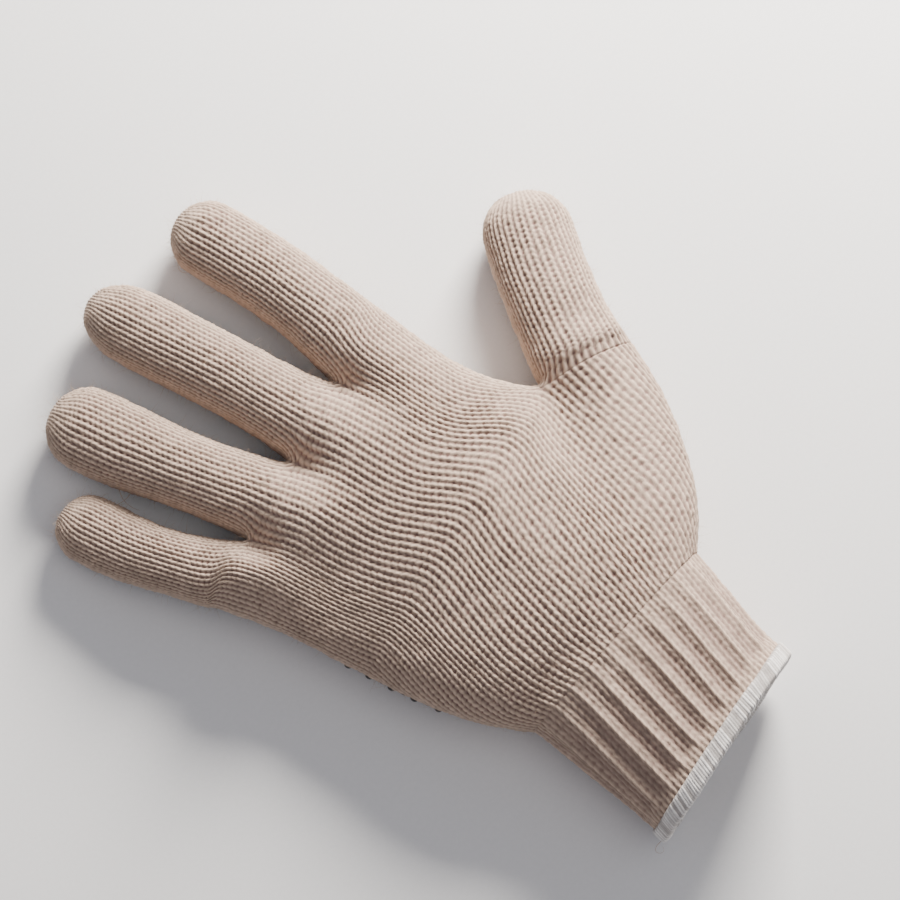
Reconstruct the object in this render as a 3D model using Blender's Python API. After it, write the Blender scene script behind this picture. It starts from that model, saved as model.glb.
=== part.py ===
"""A cotton string-knit work glove for the left hand, filled out as worn and resting palm down.

X runs across the hand towards the thumb, Y along it towards the fingertips and Z up from the
surface that it rests on. The hand, its four finger stalls and its thumb stall are one hollow
knitted skin, closed at the tips. A ribbed cuff continues it to the mouth, where an overlocked
hem is wrapped round the raw edge. Lengths are in metres.
"""

import math
from collections import namedtuple

import bmesh
import bpy
from mathutils import Vector

# Driving sizes of the hand.
PALM_WIDTH = 0.1055
PALM_THICKNESS = 0.038
HAND_LENGTH = 0.113
KNIT_WALL = 0.0022

# Driving sizes of the cuff and its hem.
CUFF_LENGTH = 0.0455
WRIST_WIDTH = 0.0736
MOUTH_WIDTH = 0.0665
MOUTH_HEIGHT = 0.0385
CUFF_LEAN = math.radians(13.9)
RIB_COUNT = 24
RIB_DEPTH = 0.0011
HEM_WIDTH = 0.0052
HEM_THICKNESS = 0.0010

# Fits: the slit left between neighbouring pieces, and how far the knit is pressed flat below.
PIECE_GAP = 0.0003
REST_PRESS = 0.0008

# How finely the skin is built, and the angle past which an edge is shaded sharp.
STALL_COLUMNS = 2
SMOOTHING_LEVEL = 1
FIT_ROUNDS = 3
CUFF_POINTS_PER_RIB = 4
CUFF_ROWS = 7
HEM_POINTS = 56
OUTLINE_SAMPLES = 720
SHARP_ANGLE = math.radians(50)

# Fullness of the sections: 2 is an ellipse, more is squarer.
BACK_FULLNESS = 2.5
PALM_FULLNESS = 3.4
STALL_FULLNESS = 2.3
STALL_CORNER = math.radians(40)

# Rows across the hand below the thumb's crotch, from the wrist up. Places are shares of
# PALM_WIDTH across and HAND_LENGTH along, heights are shares of PALM_THICKNESS, and dip is how
# far the back sinks where the thumb begins, and follow how far a row keeps to WRIST_WIDTH.
LowRow = namedtuple(
    "LowRow", "little_x little_y knee_x knee_y thumb_x thumb_y top bottom thumb_top dip follow"
)
LOW_ROWS = (
    LowRow(-0.242, 0.071, 0.308, -0.040, 0.445, -0.071, 0.98, 0.05, 1.00, 0.00, 1.0),
    LowRow(-0.278, 0.159, 0.374, 0.071, 0.572, -0.005, 1.00, 0.03, 0.96, 0.00, 0.8),
    LowRow(-0.305, 0.248, 0.445, 0.190, 0.676, 0.078, 1.01, 0.00, 0.91, 0.01, 0.5),
    LowRow(-0.322, 0.345, 0.521, 0.305, 0.762, 0.166, 1.00, 0.00, 0.86, 0.03, 0.3),
    LowRow(-0.332, 0.442, 0.588, 0.416, 0.836, 0.263, 0.99, 0.00, 0.81, 0.08, 0.1),
    LowRow(-0.336, 0.531, 0.640, 0.520, 0.900, 0.372, 0.98, 0.00, 0.77, 0.17, 0.0),
)

# Where the back starts to sink towards the thumb's side, as a place from -1 to 1 across a low
# row, and over how much of the row it does.
DROP_START = 0.9
DROP_REACH = 0.7

# Rows above the thumb's crotch, up to the knuckles, in the same shares. valley is how far the
# back sinks between two neighbouring fingers.
HighRow = namedtuple("HighRow", "little_x little_y thumb_x thumb_y top bottom valley")
HIGH_ROWS = (
    HighRow(-0.341, 0.655, 0.600, 0.646, 0.96, 0.00, 0.00),
    HighRow(-0.346, 0.761, 0.588, 0.761, 0.93, 0.00, 0.01),
    HighRow(-0.360, 0.867, 0.597, 0.867, 0.90, 0.00, 0.06),
    HighRow(-0.386, 0.985, 0.617, 0.985, 0.83, 0.06, 0.17),
)

# Where the fingers divide, as shares of the way across a row, and the crotches between them
# with the heights of their webs.
ROW_CORNER = 0.055
FINGER_SHARES = (0.218, 0.474, 0.744)
Crotch = namedtuple("Crotch", "across along")
CROTCHES = (Crotch(-0.164, 0.996), Crotch(0.092, 1.014), Crotch(0.360, 1.030))
THUMB_CROTCH = Crotch(0.645, 0.531)
WEB_HEIGHT = 0.40
THUMB_WEB_HEIGHT = 0.38

# The stalls. base and tip are places in the hand's shares, width is a length of its own, bow is
# the sideways bend at the middle and swell the widening near the tip as shares of the width,
# and round is the length of the rounded end as a share of half the width.
Stall = namedtuple("Stall", "name base_x base_y tip_x tip_y width depth bow swell round")
LITTLE_WIDTH = 0.0198
RING_WIDTH = 0.0236
MIDDLE_WIDTH = 0.0240
INDEX_WIDTH = 0.0244
THUMB_WIDTH = 0.0292
STALLS = (
    Stall("little_finger", -0.277, 0.996, -0.351, 1.485, LITTLE_WIDTH, 0.95, -0.17, 0.07, 1.00),
    Stall("ring_finger", -0.038, 1.009, -0.116, 1.652, RING_WIDTH, 0.92, -0.05, 0.12, 1.05),
    Stall("middle_finger", 0.226, 1.022, 0.216, 1.723, MIDDLE_WIDTH, 0.92, 0.02, 0.00, 1.45),
    Stall("index_finger", 0.488, 1.018, 0.556, 1.630, INDEX_WIDTH, 0.91, 0.10, -0.01, 1.05),
)
THUMB_STALL = Stall("thumb", 0.772, 0.451, 1.136, 0.856, THUMB_WIDTH, 0.85, -0.07, -0.03, 0.98)
FINGER_COLUMNS = len(STALLS) * STALL_COLUMNS

# Where a stall's swelling starts, and over how much of its straight part it grows.
SWELL_START = 0.4
SWELL_REACH = 0.5

# Sections along a stall's straight part: width and thickness as shares of its own, lift of the
# underside as a share of PALM_THICKNESS.
Section = namedtuple("Section", "along width thickness lift")
STALL_SECTIONS = (
    Section(0.10, 1.06, 1.04, 0.11),
    Section(0.30, 1.00, 1.01, 0.11),
    Section(0.52, 0.99, 1.00, 0.08),
    Section(0.76, 1.00, 0.97, 0.03),
    Section(1.00, 1.00, 0.93, 0.00),
)
THUMB_LIFT = 0.4
# The rounded end: distance back from the tip as a share of its length, with a section's scale.
TipRing = namedtuple("TipRing", "back scale")
TIP_RINGS = (TipRing(0.50, 0.866), TipRing(0.16, 0.543))
TIP_SPREAD = 0.28

# Dents and swellings of the back, as places and reaches in the hand's shares and depths in
# shares of PALM_THICKNESS, a swelling having a negative depth.
Dent = namedtuple("Dent", "across along reach_x reach_y depth")
DENTS = (
    Dent(-0.20, 0.745, 0.25, 0.085, 0.085),
    Dent(-0.10, 0.880, 0.22, 0.060, -0.045),
    Dent(-0.13, 0.095, 0.16, 0.050, 0.050),
    Dent(0.52, 0.420, 0.10, 0.110, 0.030),
)

# The cuff, in shares of its length from the mouth: over how much the ribs rise above the hem and
# fade at the wrist, and its first two rows in shares of the hem's width. The mouth has turned by
# a share of the wrist's turn, and the sections widen by a power of the share.
RIB_RISE = 0.12
RIB_FADE = 0.35
ROW_UNDER_HEM = 0.9
ROW_ABOVE_HEM = 1.6
MOUTH_TURN_SHARE = 0.3
WIDENING_POWER = 1.5

# The hem's rounding, in shares of its thickness and of its width.
HEM_EDGE = 0.8
HEM_CROWN = 1.15
HEM_SHOULDER = 0.55

# The least share of a draw-back that a sharp corner of a zone is divided by.
LEAST_CORNER = 0.5

ZONES = ("hand", "little_finger", "ring_finger", "middle_finger", "index_finger", "thumb")
Ring = namedtuple("Ring", "back thumb_side palm little_side")

COTTON = (0.70, 0.60, 0.50, 1.0)
WHITE_YARN = (0.80, 0.79, 0.77, 1.0)


def clear_scene():
    """Removes whatever the scene starts with."""
    for obj in list(bpy.data.objects):
        bpy.data.objects.remove(obj)


def material(name, colour, roughness):
    """A plain cloth finish."""
    made = bpy.data.materials.new(name)
    made.use_nodes = True
    shader = made.node_tree.nodes["Principled BSDF"]
    shader.inputs["Base Color"].default_value = colour
    shader.inputs["Roughness"].default_value = roughness
    shader.inputs["Metallic"].default_value = 0.0
    made.diffuse_color = colour
    return made


def place(across, along, height=0.0):
    """A point of the hand from its shares of the palm's width, length and thickness."""
    wrist = wrist_middle()
    return Vector(
        (across * PALM_WIDTH, wrist.y + along * HAND_LENGTH, height * PALM_THICKNESS)
    )


def wrist_middle():
    """The middle of the wrist row, seen from above, with the mouth's middle at the origin."""
    return Vector((math.sin(CUFF_LEAN) * CUFF_LENGTH, math.cos(CUFF_LEAN) * CUFF_LENGTH, 0.0))


def bulge(across, fullness):
    """Height of a unit superellipse at a place from -1 to 1 across it."""
    return max(0.0, 1.0 - abs(across) ** fullness) ** (1.0 / fullness)


def smooth_step(value):
    """0 below 0, 1 above 1 and a smooth rise between."""
    value = min(1.0, max(0.0, value))
    return value * value * (3.0 - 2.0 * value)


def heights(row, across):
    """Heights of the back and of the palm side at a place from -1 to 1 across a row."""
    middle = (row.top + row.bottom) / 2
    half = (row.top - row.bottom) / 2
    back = middle + half * bulge(across, BACK_FULLNESS)
    palm = middle - half * bulge(across, PALM_FULLNESS)
    return back, palm


def column_shares():
    """Where the columns of the four fingers lie across the palm, from the little finger's side."""
    edges = (ROW_CORNER, *FINGER_SHARES, 1.0 - ROW_CORNER)
    shares = [edges[0]]
    for start, end in zip(edges, edges[1:]):
        for step in range(1, STALL_COLUMNS + 1):
            shares.append(start + (end - start) * step / STALL_COLUMNS)
    return shares


def low_row_places(row):
    """The three places that a row passes through, set apart as far as WRIST_WIDTH asks."""
    first = LOW_ROWS[0]
    wrist_span = place(first.thumb_x, first.thumb_y) - place(first.little_x, first.little_y)
    spread = wrist_span.normalized() * ((WRIST_WIDTH - wrist_span.length) / 2 * row.follow)
    return (
        place(row.little_x, row.little_y) - spread,
        place(row.knee_x, row.knee_y),
        place(row.thumb_x, row.thumb_y) + spread,
    )


def low_ring(bm, row):
    """One ring of the hand below the thumb's crotch, the thumb's columns included."""
    little, knee, thumb = low_row_places(row)
    palm_span = (knee - little).length
    total = palm_span + (thumb - knee).length
    last_share = 1.0 - ROW_CORNER
    plan = [(little.lerp(knee, s / last_share), palm_span * s / last_share)
            for s in column_shares()]
    for step in range(1, STALL_COLUMNS + 1):
        share = step / STALL_COLUMNS * (1.0 - 2 * ROW_CORNER)
        plan.append((knee.lerp(thumb, share), palm_span + (total - palm_span) * share))
    back_side, palm_side = [], []
    for index, (point, distance) in enumerate(plan):
        back, palm = heights(row, 2 * distance / total - 1)
        drop = smooth_step((2 * distance / total - DROP_START) / DROP_REACH)
        back *= 1.0 + (row.thumb_top - 1.0) * drop
        if index == len(plan) - 1 - STALL_COLUMNS:
            back -= row.dip
        back_side.append(bm.verts.new(point + Vector((0, 0, back * PALM_THICKNESS))))
        palm_side.append(bm.verts.new(point + Vector((0, 0, palm * PALM_THICKNESS))))
    middle = (row.top + row.bottom) / 2 * PALM_THICKNESS
    edge = Vector((0, 0, middle))
    thumb_edge = Vector((0, 0, middle * row.thumb_top))
    return Ring(
        back_side, bm.verts.new(thumb + thumb_edge), palm_side, bm.verts.new(little + edge)
    )


def high_ring(bm, row):
    """One ring of the palm between the thumb's crotch and the knuckles."""
    little = place(row.little_x, row.little_y)
    thumb = place(row.thumb_x, row.thumb_y)
    back_side, palm_side = [], []
    for index, share in enumerate(column_shares()):
        point = little.lerp(thumb, share)
        back, palm = heights(row, 2 * share - 1)
        between_fingers = index % STALL_COLUMNS == 0 and 0 < index < FINGER_COLUMNS
        if between_fingers:
            back -= row.valley
            palm += row.valley / 2
        back_side.append(bm.verts.new(point + Vector((0, 0, back * PALM_THICKNESS))))
        palm_side.append(bm.verts.new(point + Vector((0, 0, palm * PALM_THICKNESS))))
    edge = Vector((0, 0, (row.top + row.bottom) / 2 * PALM_THICKNESS))
    return Ring(back_side, bm.verts.new(thumb + edge), palm_side, bm.verts.new(little + edge))


def loop_of(ring):
    """The ring's vertices in order: over the back, down the thumb's side, under and up."""
    return [*ring.back, ring.thumb_side, *reversed(ring.palm), ring.little_side]


def skin(bm, lower, upper, zone):
    """Faces between two rings of as many vertices."""
    near, far = loop_of(lower), loop_of(upper)
    for i in range(len(near)):
        j = (i + 1) % len(near)
        face = bm.faces.new((near[i], near[j], far[j], far[i]))
        face.material_index = zone


def stall_angles():
    """Angles of a stall's back and palm columns, from the little finger's side."""
    span = math.pi - 2 * STALL_CORNER
    turns = [math.pi - STALL_CORNER - span * i / STALL_COLUMNS for i in range(STALL_COLUMNS + 1)]
    return turns, [-turn for turn in turns]


def stall_point(centre, side, half_width, half_depth, angle):
    """A point of a stall's section at an angle from its thumb side."""
    power = 2 / STALL_FULLNESS
    across = math.copysign(abs(math.cos(angle)) ** power, math.cos(angle))
    up = math.copysign(abs(math.sin(angle)) ** power, math.sin(angle))
    return centre + side * (half_width * across) + Vector((0, 0, half_depth * up))


def stall_line(stall, share):
    """Point and direction of a stall's middle line, seen from above, at a share of its length."""
    base = place(stall.base_x, stall.base_y)
    tip = place(stall.tip_x, stall.tip_y)
    side = Vector((tip.y - base.y, base.x - tip.x, 0)).normalized()
    control = (base + tip) / 2 + side * (2 * stall.bow * stall.width)
    point = base * (1 - share) ** 2 + control * (2 * share * (1 - share)) + tip * share**2
    direction = (control - base) * (1 - share) + (tip - control) * share
    return point, direction.normalized()


def stall_ring(bm, stall, share, half_width, half_depth, middle_height):
    """A ring of a stall across its middle line."""
    centre, direction = stall_line(stall, share)
    centre.z = middle_height
    side = Vector((direction.y, -direction.x, 0))
    back_turns, palm_turns = stall_angles()

    def corner(angle):
        return bm.verts.new(stall_point(centre, side, half_width, half_depth, angle))

    return Ring(
        [corner(a) for a in back_turns], corner(0.0), [corner(a) for a in palm_turns],
        corner(math.pi),
    )


def build_stall(bm, stall, base, zone, lift_scale=1.0):
    """The tube of one finger or thumb from its base ring, closed by a rounded tip."""
    length = (place(stall.tip_x, stall.tip_y) - place(stall.base_x, stall.base_y)).length
    half = stall.width / 2
    tip_length = stall.round * half * (1 + stall.swell)
    straight = 1.0 - tip_length / length
    ring = base
    for section in STALL_SECTIONS:
        widening = 1 + stall.swell * smooth_step((section.along - SWELL_START) / SWELL_REACH)
        half_width = half * section.width * widening
        half_depth = half * stall.depth * section.thickness
        height = section.lift * lift_scale * PALM_THICKNESS + half_depth
        above = stall_ring(bm, stall, straight * section.along, half_width, half_depth, height)
        skin(bm, ring, above, zone)
        ring = above
    for tip_ring in TIP_RINGS:
        share = 1.0 - tip_ring.back * tip_length / length
        above = stall_ring(
            bm, stall, share, half_width * tip_ring.scale, half_depth * tip_ring.scale, height
        )
        skin(bm, ring, above, zone)
        ring = above
    close_tip(bm, stall, ring, height, half_width * TIP_SPREAD, zone)


def close_tip(bm, stall, ring, height, spread, zone):
    """Closes a stall by two rows of faces that meet along a line across the tip."""
    centre, direction = stall_line(stall, 1.0)
    centre.z = height
    side = Vector((direction.y, -direction.x, 0))
    middle = [ring.little_side]
    for step in range(1, STALL_COLUMNS):
        offset = 2 * step / STALL_COLUMNS - 1
        middle.append(bm.verts.new(centre + side * (spread * offset)))
    middle.append(ring.thumb_side)
    for i in range(STALL_COLUMNS):
        upper = bm.faces.new((ring.back[i], ring.back[i + 1], middle[i + 1], middle[i]))
        lower = bm.faces.new((middle[i], middle[i + 1], ring.palm[i + 1], ring.palm[i]))
        upper.material_index = lower.material_index = zone


def crotch_vertex(bm, crotch, height):
    """The middle of the web between two stalls."""
    return bm.verts.new(place(crotch.across, crotch.along, height))


def build_cage():
    """The coarse mesh of the hand and its stalls, open at the wrist. Each face's material index
    is its zone."""
    bm = bmesh.new()
    lows = [low_ring(bm, row) for row in LOW_ROWS]
    for lower, upper in zip(lows, lows[1:]):
        skin(bm, lower, upper, 0)
    last = lows[-1]
    thumb_web = crotch_vertex(bm, THUMB_CROTCH, THUMB_WEB_HEIGHT)
    palm = Ring(
        last.back[: FINGER_COLUMNS + 1], thumb_web,
        last.palm[: FINGER_COLUMNS + 1], last.little_side,
    )
    thumb_base = Ring(
        last.back[FINGER_COLUMNS:], last.thumb_side, last.palm[FINGER_COLUMNS:], thumb_web
    )
    for row in HIGH_ROWS:
        above = high_ring(bm, row)
        skin(bm, palm, above, 0)
        palm = above
    webs = [crotch_vertex(bm, crotch, WEB_HEIGHT) for crotch in CROTCHES]
    sides = [palm.little_side, *webs, palm.thumb_side]
    for number, stall in enumerate(STALLS):
        first = number * STALL_COLUMNS
        last_column = first + STALL_COLUMNS + 1
        base = Ring(
            palm.back[first:last_column], sides[number + 1],
            palm.palm[first:last_column], sides[number],
        )
        build_stall(bm, stall, base, ZONES.index(stall.name))
    build_stall(bm, THUMB_STALL, thumb_base, ZONES.index("thumb"), THUMB_LIFT)
    mesh = bpy.data.meshes.new("hand_cage")
    bm.to_mesh(mesh)
    bm.free()
    return mesh


def smooth_skin():
    """The smooth outer skin, fitted so that it passes through the cage's own points."""
    cage = build_cage()
    targets = [vertex.co.copy() for vertex in cage.vertices]
    helper = bpy.data.objects.new("hand_cage", cage)
    bpy.context.scene.collection.objects.link(helper)
    subdivision = helper.modifiers.new("Smooth", "SUBSURF")
    subdivision.levels = subdivision.render_levels = SMOOTHING_LEVEL
    for zone in ZONES:
        cage.materials.append(bpy.data.materials.get(zone) or bpy.data.materials.new(zone))
    for _ in range(FIT_ROUNDS):
        graph = bpy.context.evaluated_depsgraph_get()
        smooth = helper.evaluated_get(graph).to_mesh()
        reached = [smooth.vertices[i].co.copy() for i in range(len(targets))]
        helper.evaluated_get(graph).to_mesh_clear()
        for vertex, target, now in zip(cage.vertices, targets, reached):
            vertex.co += target - now
        cage.update()
    graph = bpy.context.evaluated_depsgraph_get()
    outer = bpy.data.meshes.new_from_object(helper.evaluated_get(graph))
    bpy.data.objects.remove(helper)
    return outer


def shape_skin(outer):
    """Sinks the dents into the back and presses the underside flat where it rests."""
    for vertex in outer.vertices:
        facing_up = smooth_step(vertex.normal.z)
        for dent in DENTS:
            centre = place(dent.across, dent.along)
            x = (vertex.co.x - centre.x) / (dent.reach_x * PALM_WIDTH)
            y = (vertex.co.y - centre.y) / (dent.reach_y * HAND_LENGTH)
            fall = math.exp(-x * x - y * y) * facing_up
            vertex.co.z -= dent.depth * PALM_THICKNESS * fall
    for vertex in outer.vertices:
        vertex.co.z = max(vertex.co.z, REST_PRESS)
    outer.update()


def wrist_axis():
    """Direction of the cuff at the wrist, at right angles to the wrist row."""
    row = LOW_ROWS[0]
    across = place(row.thumb_x, row.thumb_y) - place(row.little_x, row.little_y)
    return Vector((-across.y, across.x, 0)).normalized()


def wall_directions(outer):
    """Outward direction at each vertex, kept in the wrist's own plane along the open edge."""
    uses = {}
    for polygon in outer.polygons:
        for key in polygon.edge_keys:
            uses[key] = uses.get(key, 0) + 1
    rim = {index for key, count in uses.items() if count == 1 for index in key}
    axis = wrist_axis()
    directions = []
    for vertex in outer.vertices:
        normal = vertex.normal.copy()
        if vertex.index in rim:
            normal = (normal - axis * normal.dot(axis)).normalized()
        directions.append(normal)
    return directions


def zone_edges(faces):
    """Edges on a zone's boundary, each in the direction in which its face runs."""
    count = {}
    for face in faces:
        for a, b in zip(face, face[1:] + face[:1]):
            count[frozenset((a, b))] = count.get(frozenset((a, b)), 0) + 1
    return [
        (a, b) for face in faces for a, b in zip(face, face[1:] + face[:1])
        if count[frozenset((a, b))] == 1
    ]


def drawn_back(outer, faces, edges):
    """How far each boundary vertex moves into its own zone, to leave the slit."""
    owner = {}
    for face in faces:
        for pair in zip(face, face[1:] + face[:1]):
            owner[pair] = face
    inward = {}
    for a, b in edges:
        start, end = outer.vertices[a].co, outer.vertices[b].co
        corners = [outer.vertices[i].co for i in owner[(a, b)]]
        middle = sum(corners, Vector()) / len(corners)
        along = (end - start).normalized()
        across = middle - start
        across = (across - along * across.dot(along)).normalized()
        for index in (a, b):
            inward.setdefault(index, []).append(across)
    shift = {}
    for index, sides in inward.items():
        mean = sum(sides, Vector()).normalized()
        shift[index] = mean * (PIECE_GAP / 2 / max(LEAST_CORNER, mean.dot(sides[0])))
    return shift


def shell_piece(name, outer, directions, faces, cloth):
    """One zone of the skin as a closed wall: outer faces, inner faces and the rims between.
    A rim is split the same way on both sides of a slit, so that the two stay parallel."""
    edges = zone_edges(faces)
    shift = drawn_back(outer, faces, edges)
    used = sorted({index for face in faces for index in face})
    bm = bmesh.new()
    outside, inside = {}, {}
    for index in used:
        point = outer.vertices[index].co + shift.get(index, Vector())
        outside[index] = bm.verts.new(point)
        inside[index] = bm.verts.new(point - directions[index] * KNIT_WALL)
    for face in faces:
        bm.faces.new([outside[i] for i in face])
        bm.faces.new([inside[i] for i in reversed(face)])
    for a, b in edges:
        first, second = min(a, b), max(a, b)
        bm.faces.new((outside[first], outside[second], inside[second]))
        bm.faces.new((outside[first], inside[second], inside[first]))
    return finish_object(name, bm, cloth)


def finish_object(name, bm, cloth):
    """Makes an object of a finished mesh, shaded smooth but for its sharp edges."""
    bmesh.ops.recalc_face_normals(bm, faces=bm.faces)
    mesh = bpy.data.meshes.new(name)
    bm.to_mesh(mesh)
    bm.free()
    mesh.materials.append(cloth)
    mesh.shade_smooth()
    mesh.set_sharp_from_angle(angle=SHARP_ANGLE)
    obj = bpy.data.objects.new(name, mesh)
    bpy.context.scene.collection.objects.link(obj)
    return obj


def build_hand(cloth):
    """The knitted hand with its four finger stalls and its thumb stall, each a piece."""
    outer = smooth_skin()
    shape_skin(outer)
    directions = wall_directions(outer)
    pieces = []
    for number, zone in enumerate(ZONES):
        faces = [list(p.vertices) for p in outer.polygons if p.material_index == number]
        pieces.append(shell_piece(zone, outer, directions, faces, cloth))
    return pieces


def closed_outline(half_width, top, bottom):
    """Points of a section's closed outline, evenly spread by length, from the thumb's side
    over the back. Each is a distance across and a height."""
    middle, half = (top + bottom) / 2, (top - bottom) / 2
    fine = []
    for i in range(OUTLINE_SAMPLES + 1):
        turn = 2 * math.pi * i / OUTLINE_SAMPLES
        fullness = BACK_FULLNESS if math.sin(turn) >= 0 else PALM_FULLNESS
        power = 2 / fullness
        across = math.copysign(abs(math.cos(turn)) ** power, math.cos(turn))
        up = math.copysign(abs(math.sin(turn)) ** power, math.sin(turn))
        fine.append(Vector((half_width * across, middle + half * up)))
    return fine


def spread_evenly(fine, count):
    """Points at even lengths along a closed outline, each with its outward direction."""
    travelled = [0.0]
    for a, b in zip(fine, fine[1:]):
        travelled.append(travelled[-1] + (b - a).length)
    chosen, at = [], 0
    for i in range(count):
        wanted = travelled[-1] * i / count
        while travelled[at + 1] < wanted:
            at += 1
        share = (wanted - travelled[at]) / (travelled[at + 1] - travelled[at])
        chosen.append(fine[at].lerp(fine[at + 1], share))
    spread = []
    for i, point in enumerate(chosen):
        along = chosen[(i + 1) % count] - chosen[i - 1]
        spread.append((point, Vector((along.y, -along.x)).normalized()))
    return spread


class CuffLine:
    """The cuff's middle line and sections, from the mouth at 0 to the wrist at 1."""

    def __init__(self):
        row = LOW_ROWS[0]
        little, thumb = place(row.little_x, row.little_y), place(row.thumb_x, row.thumb_y)
        self.wrist_middle = (little + thumb) / 2
        self.wrist_half = WRIST_WIDTH / 2
        self.wrist_turn = math.atan2(thumb.y - little.y, thumb.x - little.x)
        self.wrist_top = row.top * PALM_THICKNESS
        self.wrist_bottom = row.bottom * PALM_THICKNESS
        self.mouth_turn = self.wrist_turn * MOUTH_TURN_SHARE

    def frame(self, share):
        """Middle point and the directions across and along at a share of the cuff."""
        ease = smooth_step(share)
        middle = self.wrist_middle * share
        turn = self.mouth_turn + (self.wrist_turn - self.mouth_turn) * ease
        across = Vector((math.cos(turn), math.sin(turn), 0))
        along = Vector((-math.sin(turn), math.cos(turn), 0))
        return middle, across, along

    def section(self, share):
        """Half width, top and bottom of the cuff's outer surface at a share of it."""
        ease = share**WIDENING_POWER
        half = MOUTH_WIDTH / 2 + (self.wrist_half - MOUTH_WIDTH / 2) * ease
        mouth_bottom = REST_PRESS + HEM_THICKNESS
        mouth_top = mouth_bottom + MOUTH_HEIGHT
        bottom = mouth_bottom + (self.wrist_bottom - mouth_bottom) * ease
        return half, mouth_top + (self.wrist_top - mouth_top) * ease, bottom


def cuff_ring(line, share, count):
    """Points and outward directions of the cuff's surface round one section."""
    middle, across, _ = line.frame(share)
    ring = []
    for point, outward in spread_evenly(closed_outline(*line.section(share)), count):
        ring.append((
            middle + across * point.x + Vector((0, 0, point.y)),
            across * outward.x + Vector((0, 0, outward.y)),
        ))
    return ring


def build_cuff(line, cloth):
    """The ribbed cuff: a fluted wall whose ribs fade out at the wrist and under the hem."""
    count = RIB_COUNT * CUFF_POINTS_PER_RIB
    hem_share = HEM_WIDTH / CUFF_LENGTH
    end_share = 1 - PIECE_GAP / 2 / CUFF_LENGTH
    shares = [0.0, hem_share * ROW_UNDER_HEM]
    start = hem_share * ROW_ABOVE_HEM
    shares += [start + (end_share - start) * i / (CUFF_ROWS - 2) for i in range(CUFF_ROWS - 1)]
    bm = bmesh.new()
    outer_rows, inner_rows = [], []
    for row, share in enumerate(shares):
        rise, fade = (share - hem_share) / RIB_RISE, (1 - share) / RIB_FADE
        strength = smooth_step(rise) * smooth_step(fade)
        outer, inner = [], []
        for i, (point, outward) in enumerate(cuff_ring(line, share, count)):
            groove = (1 - math.cos(2 * math.pi * i / CUFF_POINTS_PER_RIB)) / 2
            outer.append(point - outward * (RIB_DEPTH * groove * strength))
            inner.append(point - outward * KNIT_WALL)
        outer_rows.append([bm.verts.new(point) for point in outer])
        if row % 2 == 0 or share == shares[-1]:
            inner_rows.append([bm.verts.new(point) for point in inner])
    for rows in (outer_rows, inner_rows):
        for near, far in zip(rows, rows[1:]):
            join_rings(bm, near, far)
    join_rings(bm, outer_rows[0], inner_rows[0])
    join_rings(bm, outer_rows[-1], inner_rows[-1])
    return finish_object("cuff", bm, cloth)


def join_rings(bm, near, far):
    """A band of faces between two closed rings."""
    for i in range(len(near)):
        j = (i + 1) % len(near)
        bm.faces.new((near[i], near[j], far[j], far[i]))


def hem_profile():
    """The hem's section: out from the wall and beyond the raw edge, as a U over it."""
    clear, thick, wall = PIECE_GAP, HEM_THICKNESS, KNIT_WALL
    inner = -wall
    return (
        (clear, -HEM_WIDTH + thick),
        (thick * HEM_EDGE, -HEM_WIDTH + thick),
        (thick, -HEM_WIDTH * HEM_SHOULDER),
        (thick, clear),
        (inner / 2, thick * HEM_CROWN),
        (inner - thick, clear),
        (inner - thick, -HEM_WIDTH * HEM_SHOULDER),
        (inner - thick * HEM_EDGE, -HEM_WIDTH + thick),
        (inner - clear, -HEM_WIDTH + thick),
        (inner - clear, clear),
        (clear, clear),
    )


def build_hem(line, yarn):
    """The overlocked hem, a U-shaped band wrapped over the cuff's raw edge."""
    bm = bmesh.new()
    sections = []
    for outward_by, beyond in hem_profile():
        share = max(0.0, -beyond) / CUFF_LENGTH
        past = max(0.0, beyond)
        _, _, along = line.frame(0.0)
        sections.append([
            bm.verts.new(point + outward * outward_by - along * past)
            for point, outward in cuff_ring(line, share, HEM_POINTS)
        ])
    for near, far in zip(sections, sections[1:] + sections[:1]):
        join_rings(bm, near, far)
    return finish_object("hem", bm, yarn)


def stand_on_origin(pieces):
    """Moves the glove so that the middle of its box is over the origin and it rests on z = 0."""
    corners = [vertex.co for piece in pieces for vertex in piece.data.vertices]
    low = [min(corner[i] for corner in corners) for i in range(3)]
    high = [max(corner[i] for corner in corners) for i in range(3)]
    shift = Vector((-(low[0] + high[0]) / 2, -(low[1] + high[1]) / 2, -low[2]))
    for piece in pieces:
        for vertex in piece.data.vertices:
            vertex.co += shift


def main():
    """Builds the glove."""
    clear_scene()
    cotton = material("natural_cotton", COTTON, 0.9)
    white = material("white_yarn", WHITE_YARN, 0.85)
    pieces = build_hand(cotton)
    line = CuffLine()
    pieces.append(build_cuff(line, cotton))
    pieces.append(build_hem(line, white))
    stand_on_origin(pieces)


main()
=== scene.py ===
"""Looks of a cotton string-knit work glove for the left hand, resting palm down.

The glove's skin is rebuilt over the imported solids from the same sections: a coarse cage of the
hand is smoothed, divided into patches of whole stitches and knitted, which means that every
stitch's two yarn legs are raised in the mesh. The ribbed cuff and the overlocked hem are made the
same way, from wales, courses and threads. Grip dots, loose fibres and stray ends of yarn are added.

The rows, stalls and dents are placed in the frame of the rows, which has the mouth's middle at the
origin, x towards the thumb and y towards the fingertips. Skin.shift moves it on to the solids.
"""

import logging
import math
from collections.abc import Sequence
from dataclasses import dataclass, field
from enum import Enum

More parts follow.
